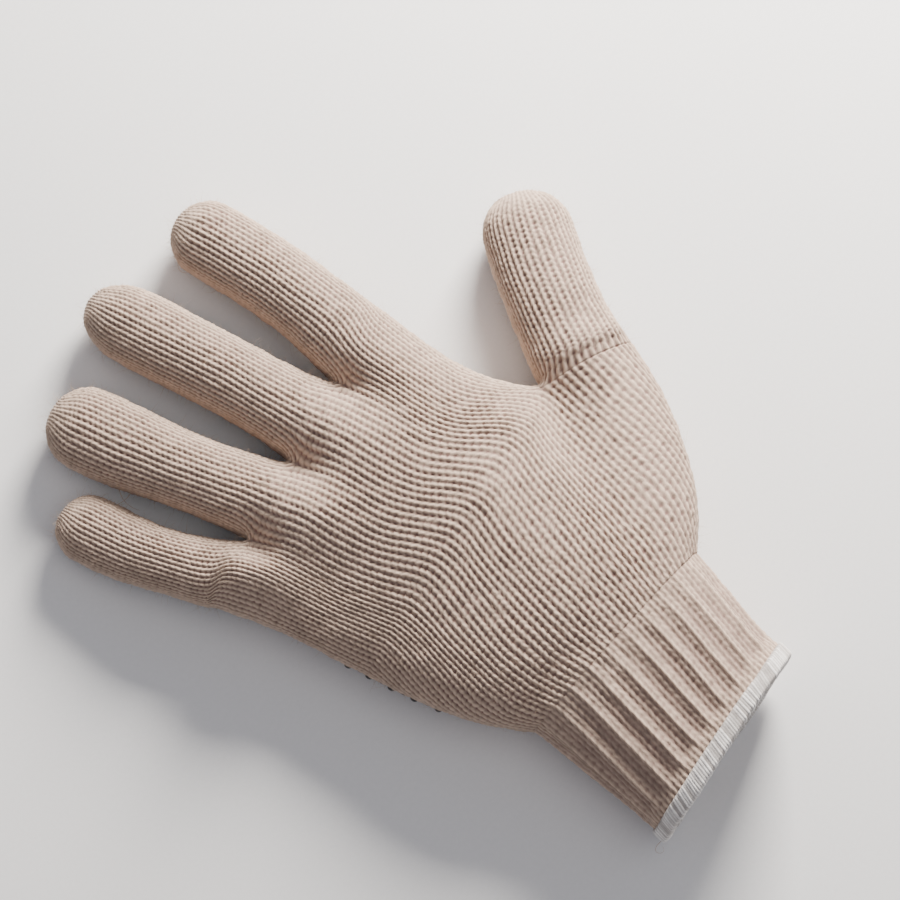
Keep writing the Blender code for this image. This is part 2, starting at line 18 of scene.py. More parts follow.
import bmesh
import bpy
import numpy as np
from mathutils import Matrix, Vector


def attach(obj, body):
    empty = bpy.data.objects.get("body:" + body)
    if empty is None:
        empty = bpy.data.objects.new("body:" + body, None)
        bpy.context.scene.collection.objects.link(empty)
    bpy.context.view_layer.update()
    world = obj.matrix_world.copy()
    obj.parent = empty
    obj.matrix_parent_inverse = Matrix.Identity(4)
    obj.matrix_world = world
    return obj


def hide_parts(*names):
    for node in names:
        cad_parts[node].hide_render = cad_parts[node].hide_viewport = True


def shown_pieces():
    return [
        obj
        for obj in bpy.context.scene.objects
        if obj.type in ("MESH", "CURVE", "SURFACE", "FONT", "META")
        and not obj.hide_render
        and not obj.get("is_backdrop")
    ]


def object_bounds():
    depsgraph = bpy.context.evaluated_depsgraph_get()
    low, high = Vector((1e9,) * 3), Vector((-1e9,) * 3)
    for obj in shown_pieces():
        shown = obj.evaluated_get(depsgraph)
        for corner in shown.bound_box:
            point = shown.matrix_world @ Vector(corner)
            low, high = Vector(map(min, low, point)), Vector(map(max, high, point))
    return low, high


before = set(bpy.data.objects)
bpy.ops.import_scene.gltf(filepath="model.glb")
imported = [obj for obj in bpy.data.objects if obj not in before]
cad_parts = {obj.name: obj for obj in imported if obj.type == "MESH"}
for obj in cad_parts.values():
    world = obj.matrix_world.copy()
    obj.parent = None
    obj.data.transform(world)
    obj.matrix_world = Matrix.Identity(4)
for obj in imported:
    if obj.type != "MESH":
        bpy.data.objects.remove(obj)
CAD_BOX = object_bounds()

log = logging.getLogger("glove")

MM = 0.001


class Zone(Enum):
    """The knitted stalls and the hand, each the name of its solid."""

    HAND = "hand"
    LITTLE = "little_finger"
    RING = "ring_finger"
    MIDDLE = "middle_finger"
    INDEX = "index_finger"
    THUMB = "thumb"


@dataclass(frozen=True)
class HandSizes:
    """Driving sizes of the hand and the cuff, in metres.

    A fullness is the power that rounds a section, and squarer the higher it is. row_corner is
    the share of a row's width outside its outermost columns, stall_corner the angle of a
    stall's, and columns how many of the cage's columns a finger has.
    """

    palm_width: float = 0.1055
    palm_thickness: float = 0.038
    hand_length: float = 0.113
    wall: float = 0.0022
    cuff_length: float = 0.0455
    cuff_lean: float = math.radians(13.9)
    wrist_width: float = 0.0736
    mouth_width: float = 0.0665
    mouth_height: float = 0.0385
    hem_width: float = 0.0052
    hem_thickness: float = 0.0010
    rest_press: float = 0.0008
    back_fullness: float = 2.5
    palm_fullness: float = 3.4
    stall_fullness: float = 2.3
    stall_corner: float = math.radians(40)
    row_corner: float = 0.055
    columns: int = 2

    def place(self, across: float, along: float, height: float = 0.0) -> Vector:
        """A point of the hand from its shares of the palm's width, length and thickness.

        Args:
            across: The share across, 0 in line with the mouth's middle.
            along: The share along, 0 at the wrist's middle.
            height: The share of the thickness.

        Returns:
            The point.
        """
        return Vector((
            across * self.palm_width,
            self.wrist_middle().y + along * self.hand_length,
            height * self.palm_thickness,
        ))

    def wrist_middle(self) -> Vector:
        """The middle of the wrist, seen from above, with the mouth's middle at the origin."""
        lean = self.cuff_lean
        return Vector((math.sin(lean), math.cos(lean), 0.0)) * self.cuff_length


@dataclass(frozen=True)
class LowRow:
    """A row across the hand below the thumb's crotch, in shares of the hand's sizes.

    The places are of the little finger's side, the knee where the thumb's part starts and the
    thumb's side. top and bottom are heights, thumb_top the share of the height left at the
    thumb's side, and dip a hollow at the knee. follow says how far the row takes up the wrist's
    width. counted is 0 where the cuff's wales run evenly round it and 1 where each column has
    its own.
    """

    little_x: float
    little_y: float
    knee_x: float
    knee_y: float
    thumb_x: float
    thumb_y: float
    top: float
    bottom: float
    thumb_top: float
    dip: float
    follow: float
    counted: float


@dataclass(frozen=True)
class HighRow:
    """A row across the palm above the thumb's crotch, in the same shares.

    valley is how deep the back is hollowed between two fingers.
    """

    little_x: float
    little_y: float
    thumb_x: float
    thumb_y: float
    top: float
    bottom: float
    valley: float


@dataclass(frozen=True)
class Stall:
    """The middle line and girth of one finger's or the thumb's stall.

    base and tip are shares of the hand's sizes, width is in metres and depth a share of it. bow
    is how far the middle line is bent, in widths, swell how much wider the far half is, round
    the tip's length in half widths, lift a share of the sections' lift, and root_course the
    pitch of the courses next to the hand.
    """

    zone: Zone
    base_x: float
    base_y: float
    tip_x: float
    tip_y: float
    width: float
    depth: float
    bow: float
    swell: float
    round: float
    lift: float = 1.0
    root_course: float = 1.95 * MM


@dataclass(frozen=True)
class Section:
    """A section along a stall's straight part.

    along is a share of its length, width and thickness are shares of its girth, and lift is a
    share of the palm's thickness.
    """

    along: float
    width: float
    thickness: float
    lift: float


@dataclass(frozen=True)
class Dent:
    """A dent, or with a negative depth a swelling, of the back, in shares of the hand's sizes."""

    across: float
    along: float
    reach_x: float
    reach_y: float
    depth: float


LOW_ROWS = (
    LowRow(-0.242, 0.071, 0.308, -0.040, 0.445, -0.071, 0.98, 0.05, 1.00, 0.00, 1.0, 0.00),
    LowRow(-0.278, 0.159, 0.374, 0.071, 0.572, -0.005, 1.00, 0.03, 0.96, 0.00, 0.8, 0.12),
    LowRow(-0.305, 0.248, 0.445, 0.190, 0.676, 0.078, 1.01, 0.00, 0.91, 0.01, 0.5, 0.30),
    LowRow(-0.322, 0.345, 0.521, 0.305, 0.762, 0.166, 1.00, 0.00, 0.86, 0.03, 0.3, 0.55),
    LowRow(-0.332, 0.442, 0.588, 0.416, 0.836, 0.263, 0.99, 0.00, 0.81, 0.08, 0.1, 0.80),
    LowRow(-0.336, 0.531, 0.640, 0.520, 0.900, 0.372, 0.98, 0.00, 0.77, 0.17, 0.0, 1.00),
)
HIGH_ROWS = (
    HighRow(-0.341, 0.655, 0.600, 0.646, 0.96, 0.00, 0.00),
    HighRow(-0.346, 0.761, 0.588, 0.761, 0.93, 0.00, 0.01),
    HighRow(-0.360, 0.867, 0.597, 0.867, 0.90, 0.00, 0.06),
    HighRow(-0.386, 0.985, 0.617, 0.985, 0.83, 0.06, 0.17),
)
FINGER_SHARES = (0.218, 0.474, 0.744)
CROTCHES = ((-0.164, 0.996), (0.092, 1.014), (0.360, 1.030))
THUMB_CROTCH = (0.645, 0.531)
STALLS = (
    Stall(Zone.LITTLE, -0.277, 0.996, -0.351, 1.485, 0.0198, 0.95, -0.17, 0.07, 1.00),
    Stall(Zone.RING, -0.038, 1.009, -0.116, 1.652, 0.0236, 0.92, -0.05, 0.12, 1.05),
    Stall(Zone.MIDDLE, 0.226, 1.022, 0.216, 1.723, 0.0240, 0.92, 0.02, 0.00, 1.45),
    Stall(Zone.INDEX, 0.488, 1.018, 0.556, 1.630, 0.0244, 0.91, 0.10, -0.01, 1.05),
)
THUMB_STALL = Stall(
    Zone.THUMB, 0.772, 0.451, 1.136, 0.856, 0.0292, 0.85, -0.07, -0.03, 0.98, 0.4, 2.7 * MM
)
STALL_SECTIONS = (
    Section(0.10, 1.06, 1.04, 0.11),
    Section(0.30, 1.00, 1.01, 0.11),
    Section(0.52, 0.99, 1.00, 0.08),
    Section(0.76, 1.00, 0.97, 0.03),
    Section(1.00, 1.00, 0.93, 0.00),
)
# how far each ring of a tip is from its end, in tip lengths, and its share of the girth
TIP_RINGS = ((0.50, 0.866), (0.16, 0.543))
TIP_SPREAD = 0.28
WEB_HEIGHT = 0.40
THUMB_WEB_HEIGHT = 0.38
# where the back drops towards the thumb's side, and where a stall starts to swell
DROP_START, DROP_REACH = 0.9, 0.7
SWELL_START, SWELL_REACH = 0.4, 0.5
DENTS = (
    Dent(-0.20, 0.735, 0.25, 0.085, 0.090),
    Dent(-0.24, 0.610, 0.28, 0.160, 0.085),
    Dent(-0.10, 0.880, 0.22, 0.060, -0.065),
    Dent(0.795, 0.430, 0.085, 0.075, -0.052),
    Dent(0.70, 0.470, 0.050, 0.045, -0.025),
    Dent(0.86, 0.540, 0.085, 0.075, 0.022),
    Dent(-0.164, 0.950, 0.045, 0.055, 0.075),
    Dent(0.092, 0.965, 0.045, 0.055, 0.075),
    Dent(0.360, 0.980, 0.045, 0.055, 0.075),
    Dent(-0.13, 0.095, 0.16, 0.050, 0.050),
    Dent(0.52, 0.420, 0.10, 0.110, 0.030),
)


@dataclass(frozen=True)
class Gauge:
    """How a stretch is knitted: pitch of its courses and wales to each of the cage's columns."""

    course: float
    wales: int = 3


BODY_GAUGE = Gauge(course=2.35 * MM)
PALM_GAUGE = Gauge(course=2.05 * MM)
STALL_GAUGE = Gauge(course=1.95 * MM)
SAMPLES_ACROSS = 10
PALM_SAMPLES_ACROSS = 7
SAMPLES_ALONG = 5
PATCH_LEVEL = 4
UV_SLACK = 0.01
CUFF_WALES = 48


def smooth_step(value: np.ndarray | float) -> np.ndarray | float:
    """0 below 0, 1 above 1 and a smooth rise between, for a number or an array.

    Args:
        value: The number or array.

    Returns:
        The smoothed value.
    """
    value = np.clip(value, 0.0, 1.0)
    return value * value * (3.0 - 2.0 * value)


def deselect() -> None:
    """Leaves nothing selected or active."""
    bpy.ops.object.select_all(action="DESELECT")
    bpy.context.view_layer.objects.active = None


@dataclass(frozen=True)
class Chart:
    """The stitches on one face of the cage.

    low and high are the wales at its lower and upper corners, start is the course at its lower
    edge, and lattice gives its ends in the count of wales that the grip dots are spaced by.
    """

    zone: Zone
    wales: int
    courses: int
    start: int
    low: tuple[float, float]
    high: tuple[float, float]
    lattice: tuple[int, int]
    palm: bool

    def samples_across(self) -> int:
        """How many steps the knitted side of the face has across."""
        return self.wales * (PALM_SAMPLES_ACROSS if self.palm else SAMPLES_ACROSS)


@dataclass
class Ring:
    """One closed row of the cage: over the back, the thumb's side, under and up again."""

    back: list[bmesh.types.BMVert]
    thumb_side: bmesh.types.BMVert
    palm: list[bmesh.types.BMVert]
    little_side: bmesh.types.BMVert

    def loop(self) -> list[bmesh.types.BMVert]:
        """The ring's vertices in order."""
        return [*self.back, self.thumb_side, *reversed(self.palm), self.little_side]


@dataclass
class Cage:
    """The coarse mesh of the hand, with a stitch chart on each of its faces."""

    sizes: HandSizes
    bm: bmesh.types.BMesh = field(default_factory=bmesh.new)
    charts: list[Chart] = field(default_factory=list)

    def vertex(self, point: Vector) -> bmesh.types.BMVert:
        """A new vertex of the cage."""
        return self.bm.verts.new(point)

    def heights(self, row: LowRow | HighRow, across: float) -> tuple[float, float]:
        """Heights of the back and the palm side at a place from -1 to 1 across a row.

        Args:
            row: A low or a high row.
            across: The place.

        Returns:
            The two heights as shares of the palm's thickness.
        """
        middle, half = (row.top + row.bottom) / 2, (row.top - row.bottom) / 2
        sizes = self.sizes

        def bulge(fullness: float) -> float:
            """The section's height there as a share of its height in the middle."""
            return max(0.0, 1.0 - abs(across) ** fullness) ** (1.0 / fullness)

        return middle + half * bulge(sizes.back_fullness), middle - half * bulge(sizes.palm_fullness)

    def column_shares(self) -> list[float]:
        """Where the fingers' columns lie across the palm, from the little finger's side.

        Returns:
            Their shares of the palm's width.
        """
        corner, columns = self.sizes.row_corner, self.sizes.columns
        edges = (corner, *FINGER_SHARES, 1.0 - corner)
        shares = [edges[0]]
        for start, end in zip(edges, edges[1:]):
            shares += [start + (end - start) * i / columns for i in range(1, columns + 1)]
        return shares

    def low_places(self, row: LowRow) -> tuple[Vector, Vector, Vector]:
        """The places of the little finger's side, the knee and the thumb's side of a row.

        Args:
            row: The row.

        Returns:
            The three places.
        """
        place, first = self.sizes.place, LOW_ROWS[0]
        span = place(first.thumb_x, first.thumb_y) - place(first.little_x, first.little_y)
        spread = span.normalized() * ((self.sizes.wrist_width - span.length) / 2 * row.follow)
        return (
            place(row.little_x, row.little_y) - spread,
            place(row.knee_x, row.knee_y),
            place(row.thumb_x, row.thumb_y) + spread,
        )

    def low_ring(self, row: LowRow) -> Ring:
        """A ring below the thumb's crotch, with the thumb's columns.

        Args:
            row: Its sizes.

        Returns:
            The ring.
        """
        little, knee, thumb = self.low_places(row)
        thick, columns, corner = self.sizes.palm_thickness, self.sizes.columns, self.sizes.row_corner
        palm_span = (knee - little).length
        total = palm_span + (thumb - knee).length
        plan = [
            (little.lerp(knee, s / (1.0 - corner)), palm_span * s / (1.0 - corner))
            for s in self.column_shares()
        ]
        for step in range(1, columns + 1):
            share = step / columns * (1.0 - 2 * corner)
            plan.append((knee.lerp(thumb, share), palm_span + (total - palm_span) * share))
        back_side, palm_side = [], []
        for index, (point, distance) in enumerate(plan):
            back, palm = self.heights(row, 2 * distance / total - 1)
            near_thumb = float(smooth_step((2 * distance / total - DROP_START) / DROP_REACH))
            back *= 1.0 + (row.thumb_top - 1.0) * near_thumb
            if index == len(plan) - 1 - columns:
                back -= row.dip
            back_side.append(self.vertex(point + Vector((0, 0, back * thick))))
            palm_side.append(self.vertex(point + Vector((0, 0, palm * thick))))
        middle = (row.top + row.bottom) / 2 * thick
        return Ring(
            back_side, self.vertex(thumb + Vector((0, 0, middle * row.thumb_top))),
            palm_side, self.vertex(little + Vector((0, 0, middle))),
        )

    def high_ring(self, row: HighRow) -> Ring:
        """A ring between the thumb's crotch and the knuckles.

        Args:
            row: Its sizes.

        Returns:
            The ring.
        """
        place, thick, columns = self.sizes.place, self.sizes.palm_thickness, self.sizes.columns
        little, thumb = place(row.little_x, row.little_y), place(row.thumb_x, row.thumb_y)
        back_side, palm_side = [], []
        for index, share in enumerate(self.column_shares()):
            point = little.lerp(thumb, share)
            back, palm = self.heights(row, 2 * share - 1)
            if index % columns == 0 and 0 < index < len(STALLS) * columns:
                back -= row.valley
                palm += row.valley / 2
            back_side.append(self.vertex(point + Vector((0, 0, back * thick))))
            palm_side.append(self.vertex(point + Vector((0, 0, palm * thick))))
        edge = Vector((0, 0, (row.top + row.bottom) / 2 * thick))
        return Ring(back_side, self.vertex(thumb + edge), palm_side, self.vertex(little + edge))

    def wales_at(self, ring: Ring, counted: float, wales: int, seamed: bool
                 ) -> list[tuple[float, float]]:
        """Counts of wales at both ends of each face that starts on a ring, 0 in mid back.

        Args:
            ring: The ring.
            counted: 0 for the cuff's wales spread evenly by length, 1 for the same on each face.
            wales: How many a face has.
            seamed: Whether the counts jump at a seam in the middle of the palm side.

        Returns:
            The two counts of each face.
        """
        loop = ring.loop()
        lengths = [(b.co - a.co).length for a, b in zip(loop, loop[1:] + loop[:1])]
        around, middle = sum(lengths), (len(ring.back) - 1) // 2
        seam = len(ring.back) + 1 + middle
        half_way = sum(lengths[:middle])
        counts, passed = [], 0.0
        for i, length in enumerate(lengths):
            ends = []
            for number, distance in ((i, passed), (i + 1, passed + length)):
                even = (distance - half_way) / around * CUFF_WALES
                own = (number - middle) * wales
                if seamed and i >= seam:
                    even, own = even - CUFF_WALES, own - len(loop) * wales
                ends.append(even + (own - even) * counted)
            counts.append(tuple(ends))
            passed += length
        return counts

    def band(self, lower: Ring, upper: Ring, zone: Zone, gauge: Gauge, start: int,
             offset: int = 0, counted: tuple[float, float] = (1.0, 1.0)) -> int:
        """Faces between two rings, each charted with its stitches.

        Args:
            lower: The ring nearer the wrist.
            upper: The ring nearer the tip.
            zone: What the faces belong to.
            gauge: How the band is knitted.
            start: The course at the lower ring.
            offset: Wales between the palm's edge and this stall's, for the dots' lattice.
            counted: How far the wales are spread by count, at the two rings.

        Returns:
            The course at the upper ring.
        """
        near, far = lower.loop(), upper.loop()
        lengths = [(a.co - b.co).length for a, b in zip(near, far)]
        courses = max(1, round(sum(lengths) / len(lengths) / gauge.course))
        wales, columns = gauge.wales, len(lower.back) - 1
        seamed = counted[0] < 1.0
        low = self.wales_at(lower, counted[0], wales, seamed)
        high = self.wales_at(upper, counted[1], wales, seamed)
        for i in range(len(near)):
            j = (i + 1) % len(near)
            self.bm.faces.new((near[i], near[j], far[j], far[i]))
            left = (len(near) - i) * wales + offset
            self.charts.append(Chart(
                zone=zone, wales=wales, courses=courses, start=start, low=low[i], high=high[i],
                lattice=(left, left - wales), palm=columns + 1 <= i < 2 * columns + 3,
            ))
        return start + courses

    def stall_line(self, stall: Stall, share: float) -> tuple[Vector, Vector]:
        """Point and direction of a stall's middle line at a share of its length.

        Args:
            stall: The stall.
            share: 0 at its base and 1 at its tip.

        Returns:
            The point and the unit direction.
        """
        base = self.sizes.place(stall.base_x, stall.base_y)
        tip = self.sizes.place(stall.tip_x, stall.tip_y)
        side = Vector((tip.y - base.y, base.x - tip.x, 0)).normalized()
        control = (base + tip) / 2 + side * (2 * stall.bow * stall.width)
        point = base * (1 - share) ** 2 + control * (2 * share * (1 - share)) + tip * share**2
        direction = (control - base) * (1 - share) + (tip - control) * share
        return point, direction.normalized()

    def stall_ring(self, stall: Stall, share: float, half_width: float, half_depth: float,
                   height: float) -> Ring:
        """A ring of a stall across its middle line.

        Args:
            stall: The stall.
            share: Where on its middle line.
            half_width: Half of the ring's width.
            half_depth: Half of its height.
            height: The height of its middle.

        Returns:
            The ring.
        """
        centre, direction = self.stall_line(stall, share)
        centre.z = height
        side = Vector((direction.y, -direction.x, 0))
        power = 2 / self.sizes.stall_fullness

        def corner(angle: float) -> bmesh.types.BMVert:
            """A vertex of the ring at an angle from the thumb's side over the back.

            Args:
                angle: The angle.

            Returns:
                The vertex.
            """
            across = math.copysign(abs(math.cos(angle)) ** power, math.cos(angle))
            up = math.copysign(abs(math.sin(angle)) ** power, math.sin(angle))
            return self.vertex(centre + side * (half_width * across) + Vector((0, 0, half_depth * up)))

        columns, first = self.sizes.columns, math.pi - self.sizes.stall_corner
        step = (math.pi - 2 * self.sizes.stall_corner) / columns
        turns = [first - step * i for i in range(columns + 1)]
        return Ring([corner(a) for a in turns], corner(0.0), [corner(-a) for a in turns], corner(math.pi))

    def stall(self, stall: Stall, base: Ring, start: int, offset: int) -> None:
        """The tube of one finger or the thumb, closed at its tip.

        Args:
            stall: Its line and girth.
            base: The ring that it grows out of.
            start: The course at that ring.
            offset: Wales between the palm's edge and this stall's.
        """
        place = self.sizes.place
        length = (place(stall.tip_x, stall.tip_y) - place(stall.base_x, stall.base_y)).length
        half = stall.width / 2
        tip_length = stall.round * half * (1 + stall.swell)
        straight = 1.0 - tip_length / length
        ring, course = base, start
        for section in STALL_SECTIONS:
            swollen = float(smooth_step((section.along - SWELL_START) / SWELL_REACH))
            widening = 1 + stall.swell * swollen
            half_width = half * section.width * widening
            half_depth = half * stall.depth * section.thickness
            height = section.lift * stall.lift * self.sizes.palm_thickness + half_depth
            above = self.stall_ring(stall, straight * section.along, half_width, half_depth, height)
            gauge = Gauge(stall.root_course) if ring is base else STALL_GAUGE
            course = self.band(ring, above, stall.zone, gauge, course, offset)
            ring = above
        for back, scale in TIP_RINGS:
            share = 1.0 - back * tip_length / length
            above = self.stall_ring(stall, share, half_width * scale, half_depth * scale, height)
            course = self.band(ring, above, stall.zone, STALL_GAUGE, course, offset)
            ring = above
        self.close_tip(stall, ring, height, half_width * TIP_SPREAD, course)

    def close_tip(self, stall: Stall, ring: Ring, height: float, spread: float, start: int) -> None:
        """Closes a stall by two rows of faces that meet along a line across its tip.

        Args:
            stall: The stall.
            ring: The last ring before the tip.
            height: The height of the tip.
            spread: Half of that line's length, in metres.
            start: The course at the ring.
        """
        columns, wales = self.sizes.columns, STALL_GAUGE.wales
        centre, direction = self.stall_line(stall, 1.0)
        centre.z = height
        side = Vector((direction.y, -direction.x, 0))
        middle = [ring.little_side]
        middle += [
            self.vertex(centre + side * (spread * (2 * i / columns - 1))) for i in range(1, columns)
        ]
        middle.append(ring.thumb_side)
        courses = max(1, round((middle[1].co - ring.back[1].co).length / STALL_GAUGE.course))
        for i in range(columns):
            corners = (
                (ring.back[i], ring.back[i + 1], middle[i + 1], middle[i]),
                (ring.palm[i + 1], ring.palm[i], middle[i], middle[i + 1]),
            )
            for number, four in enumerate(corners):
                self.bm.faces.new(four)
                ends = (i * wales, (i + 1) * wales) if number == 0 else ((i + 1) * wales, i * wales)
                self.charts.append(Chart(
                    zone=stall.zone, wales=wales, courses=courses, start=start,
                    low=ends, high=ends, lattice=(0, 0), palm=number == 1,
                ))

    def build(self) -> None:
        """Builds the whole cage: the hand from the wrist to the knuckles, then the stalls."""
        lows = [self.low_ring(row) for row in LOW_ROWS]
        course = 0
        for i, (lower, upper) in enumerate(zip(lows, lows[1:])):
            counted = (LOW_ROWS[i].counted, LOW_ROWS[i + 1].counted)
            course = self.band(lower, upper, Zone.HAND, BODY_GAUGE, course, 0, counted)
        columns, last = len(STALLS) * self.sizes.columns, lows[-1]
        web = self.vertex(self.sizes.place(*THUMB_CROTCH, THUMB_WEB_HEIGHT))
        palm = Ring(last.back[: columns + 1], web, last.palm[: columns + 1], last.little_side)
        thumb = Ring(last.back[columns:], last.thumb_side, last.palm[columns:], web)
        wales = PALM_GAUGE.wales * self.sizes.columns
        self.stall(THUMB_STALL, thumb, course, len(STALLS) * wales)
        for row in HIGH_ROWS:
            above = self.high_ring(row)
            course = self.band(palm, above, Zone.HAND, PALM_GAUGE, course)
            palm = above
        webs = [self.vertex(self.sizes.place(*crotch, WEB_HEIGHT)) for crotch in CROTCHES]
        sides = [palm.little_side, *webs, palm.thumb_side]
        for number, stall in enumerate(STALLS):
            first = number * self.sizes.columns
            end = first + self.sizes.columns + 1
            base = Ring(palm.back[first:end], sides[number + 1], palm.palm[first:end], sides[number])
            self.stall(stall, base, course, number * wales)


@dataclass
class Patch:
    """One face of the cage after smoothing: a grid of points and outward directions."""

    chart: Chart
    corners: tuple[int, int, int, int]
    points: np.ndarray
    normals: np.ndarray

    def sample(self, s: np.ndarray, t: np.ndarray) -> tuple[np.ndarray, np.ndarray]:
        """Points and directions at places from 0 to 1 across and along the patch.

        Args:
            s: Places across.
            t: Places along, of the same shape.

        Returns:
            The points and the unit directions.
        """
        steps = self.points.shape[0] - 1
        x, y = np.clip(s, 0, 1) * steps, np.clip(t, 0, 1) * steps
        i = np.minimum(x.astype(int), steps - 1)
        j = np.minimum(y.astype(int), steps - 1)
        fx, fy = (x - i)[..., None], (y - j)[..., None]

        def blend(grid: np.ndarray) -> np.ndarray:
            """Values of a grid between its nearest four.

            Args:
                grid: The grid.

            Returns:
                A value for each place.
            """
            low = grid[i, j] * (1 - fx) + grid[i + 1, j] * fx
            high = grid[i, j + 1] * (1 - fx) + grid[i + 1, j + 1] * fx
            return low * (1 - fy) + high * fy

        normals = blend(self.normals)
        return blend(self.points), normals / np.linalg.norm(normals, axis=-1, keepdims=True)


@dataclass(frozen=True)
class Stitch:
    """The face of plain knitting: two lines of yarn legs to a wale, with holes between lines.

    leg is half a line's width and lean how far its legs lean, in pitches of the lines. bridge
    is the height of the yarn between two holes, notch how far a leg sinks at its ends, and
    fullness the power that makes a leg's section fuller the smaller it is.
    """

    leg: float = 0.40
    lean: float = 0.22
    bridge: float = 0.42
    notch: float = 0.26
    fullness: float = 0.75

    def relief(self, wale: np.ndarray, course: np.ndarray) -> np.ndarray:
        """How far the yarn stands up at places counted in wales and courses.

        Args:
            wale: Places across, whole numbers lying between two wales.
            course: Places along.

        Returns:
            Heights from 0 in a hole to 1 on a crest.
        """
        line = 2 * wale
        number = np.floor(line)
        side = np.where(number % 2 == 0, 1.0, -1.0)
        phase = course - np.floor(course)
        across = line - number - 0.5 - side * self.lean * (phase - 0.5)
        crest = np.clip(1.0 - (across / self.leg) ** 2, 0.0, 1.0) ** self.fullness
        crest *= 1.0 - self.notch * (2 * phase - 1) ** 2
        hole = np.where(np.round(line) % 2 == 0, 0.5, 0.0)
        bridge = self.bridge * (0.5 - 0.5 * np.cos(2 * math.pi * (course - hole)))
        return np.maximum(crest, bridge)


@dataclass(frozen=True)
class Ripple:
    """A smooth field of slow random change, the same wherever the same place is asked for."""

    reach: float
    amount: float
    seed: int
    waves: int = 14

    def at(self, points: np.ndarray) -> np.ndarray:
        """Values of about minus the amount to the amount at points in metres.

        Args:
            points: The points.

        Returns:
            A value for each.
        """
        rng = np.random.default_rng(self.seed)
        directions = rng.normal(size=(3, self.waves)) / self.reach
        phases = rng.uniform(0.0, 2 * math.pi, self.waves)
        return np.sin(points @ directions + phases).sum(axis=-1) * self.amount / math.sqrt(self.waves)


# how unevenly the stitches lie, in wales and courses, and how the yarn's thickness varies
ACROSS_DRIFT = Ripple(6 * MM, 0.065, 11)
ALONG_DRIFT = Ripple(7 * MM, 0.14, 12)
THICKNESS_DRIFT = Ripple(2.2 * MM, 0.14, 13)
YARN_LUMPS = Ripple(0.45 * MM, 1.0, 14)
STITCH = Stitch()
# the yarn's relief, and where it is drawn together, ribbed or plain
YARN_SINK = 0.66 * MM
YARN_RISE = 0.78 * MM
LUMP_HEIGHT = 0.075 * MM
PALM_INSET = 0.65 * MM
FLOOR_GAP = 0.05 * MM
CLOSED_RELIEF = 0.74
CLOSING = 0.55
SIDE_TIGHTNESS = 0.8
SIDE_START, SIDE_REACH = 0.5, 0.4
CUFF_TIGHTNESS = 0.6
CUFF_TIGHT_END = 12 * MM
TIP_COURSES, TIP_EASE = 9, 6
RIB_WALES = 2
RIDGE_LINE = 0.25
RIDGE_WALES = 0.42
RIB_DEPTH = 1.25 * MM
# painted shade: how much the colour darkens in the ribbing's grooves
RIB_SHADE = 0.38
RIB_FADE = (27 * MM, 54 * MM)
# the linings' place on the yarn's colour ramp, low and dark: painted shade inside the glove
LINING_SHADE_RELIEF = 0.3
WELD = 0.001 * MM
KEY_BITS = 21


def rib_groove(wale: np.ndarray, distance: np.ndarray) -> np.ndarray:
    """How deep the ribbing's grooves are, from 0 to 1.

    Args:
        wale: Counts of wales across, each ridge lying on every second wale's first line.
        distance: How far from the cuff's mouth, in metres.

    Returns:
        The depths.
    """
    start, end = RIB_FADE
    away = (wale - RIDGE_LINE) % RIB_WALES
    away = np.minimum(away, RIB_WALES - away)
    groove = 1.0 - np.exp(-(away / RIDGE_WALES) ** 2)
    return groove * smooth_step((end - distance) / (end - start))


def cuff_tightness(distance: np.ndarray) -> np.ndarray:
    """How far the ribbing draws its stitches together at distances from the mouth in metres."""
    return CUFF_TIGHTNESS * smooth_step((RIB_FADE[1] - distance) / CUFF_TIGHT_END)


def knit_points(points: np.ndarray, normals: np.ndarray, wale: np.ndarray, course: np.ndarray,
                groove: np.ndarray | float, tight: np.ndarray) -> tuple[np.ndarray, np.ndarray]:
    """Raises the stitches out of a surface.

    Args:
        points: Places on the surface.
        normals: Outward directions there.
        wale: Counts of wales across.
        course: Counts of courses along.
        groove: Depth of the ribbing's grooves, from 0 to 1.
        tight: 1 where the knit is drawn together and its holes close, and 0 where it lies open.

    Returns:
        The raised points, and how high each stands from 0 to 1 for the colour, lowered in the ribbing's
        grooves as painted shade.
    """
    wale = wale + ACROSS_DRIFT.at(points)
    course = course + ALONG_DRIFT.at(points)
    relief = STITCH.relief(wale, course)
    upright = smooth_step((SIDE_START - np.abs(normals[..., 2])) / SIDE_REACH)
    closing = CLOSING * np.maximum(tight, SIDE_TIGHTNESS * upright)
    relief = relief + (CLOSED_RELIEF - relief) * closing
    rise = YARN_RISE * relief * (1.0 + THICKNESS_DRIFT.at(points)) - YARN_SINK
    rise += LUMP_HEIGHT * YARN_LUMPS.at(points) - RIB_DEPTH * groove
    rise -= PALM_INSET * smooth_step(-normals[..., 2])
    raised = points + normals * rise[..., None]
    raised[..., 2] = np.maximum(raised[..., 2], FLOOR_GAP)
    # the relief sets the yarn's colour: painted shade in the holes and on the slopes, and more painted
    # shade in the ribbing's grooves
    return raised, relief * (1.0 - RIB_SHADE * groove)


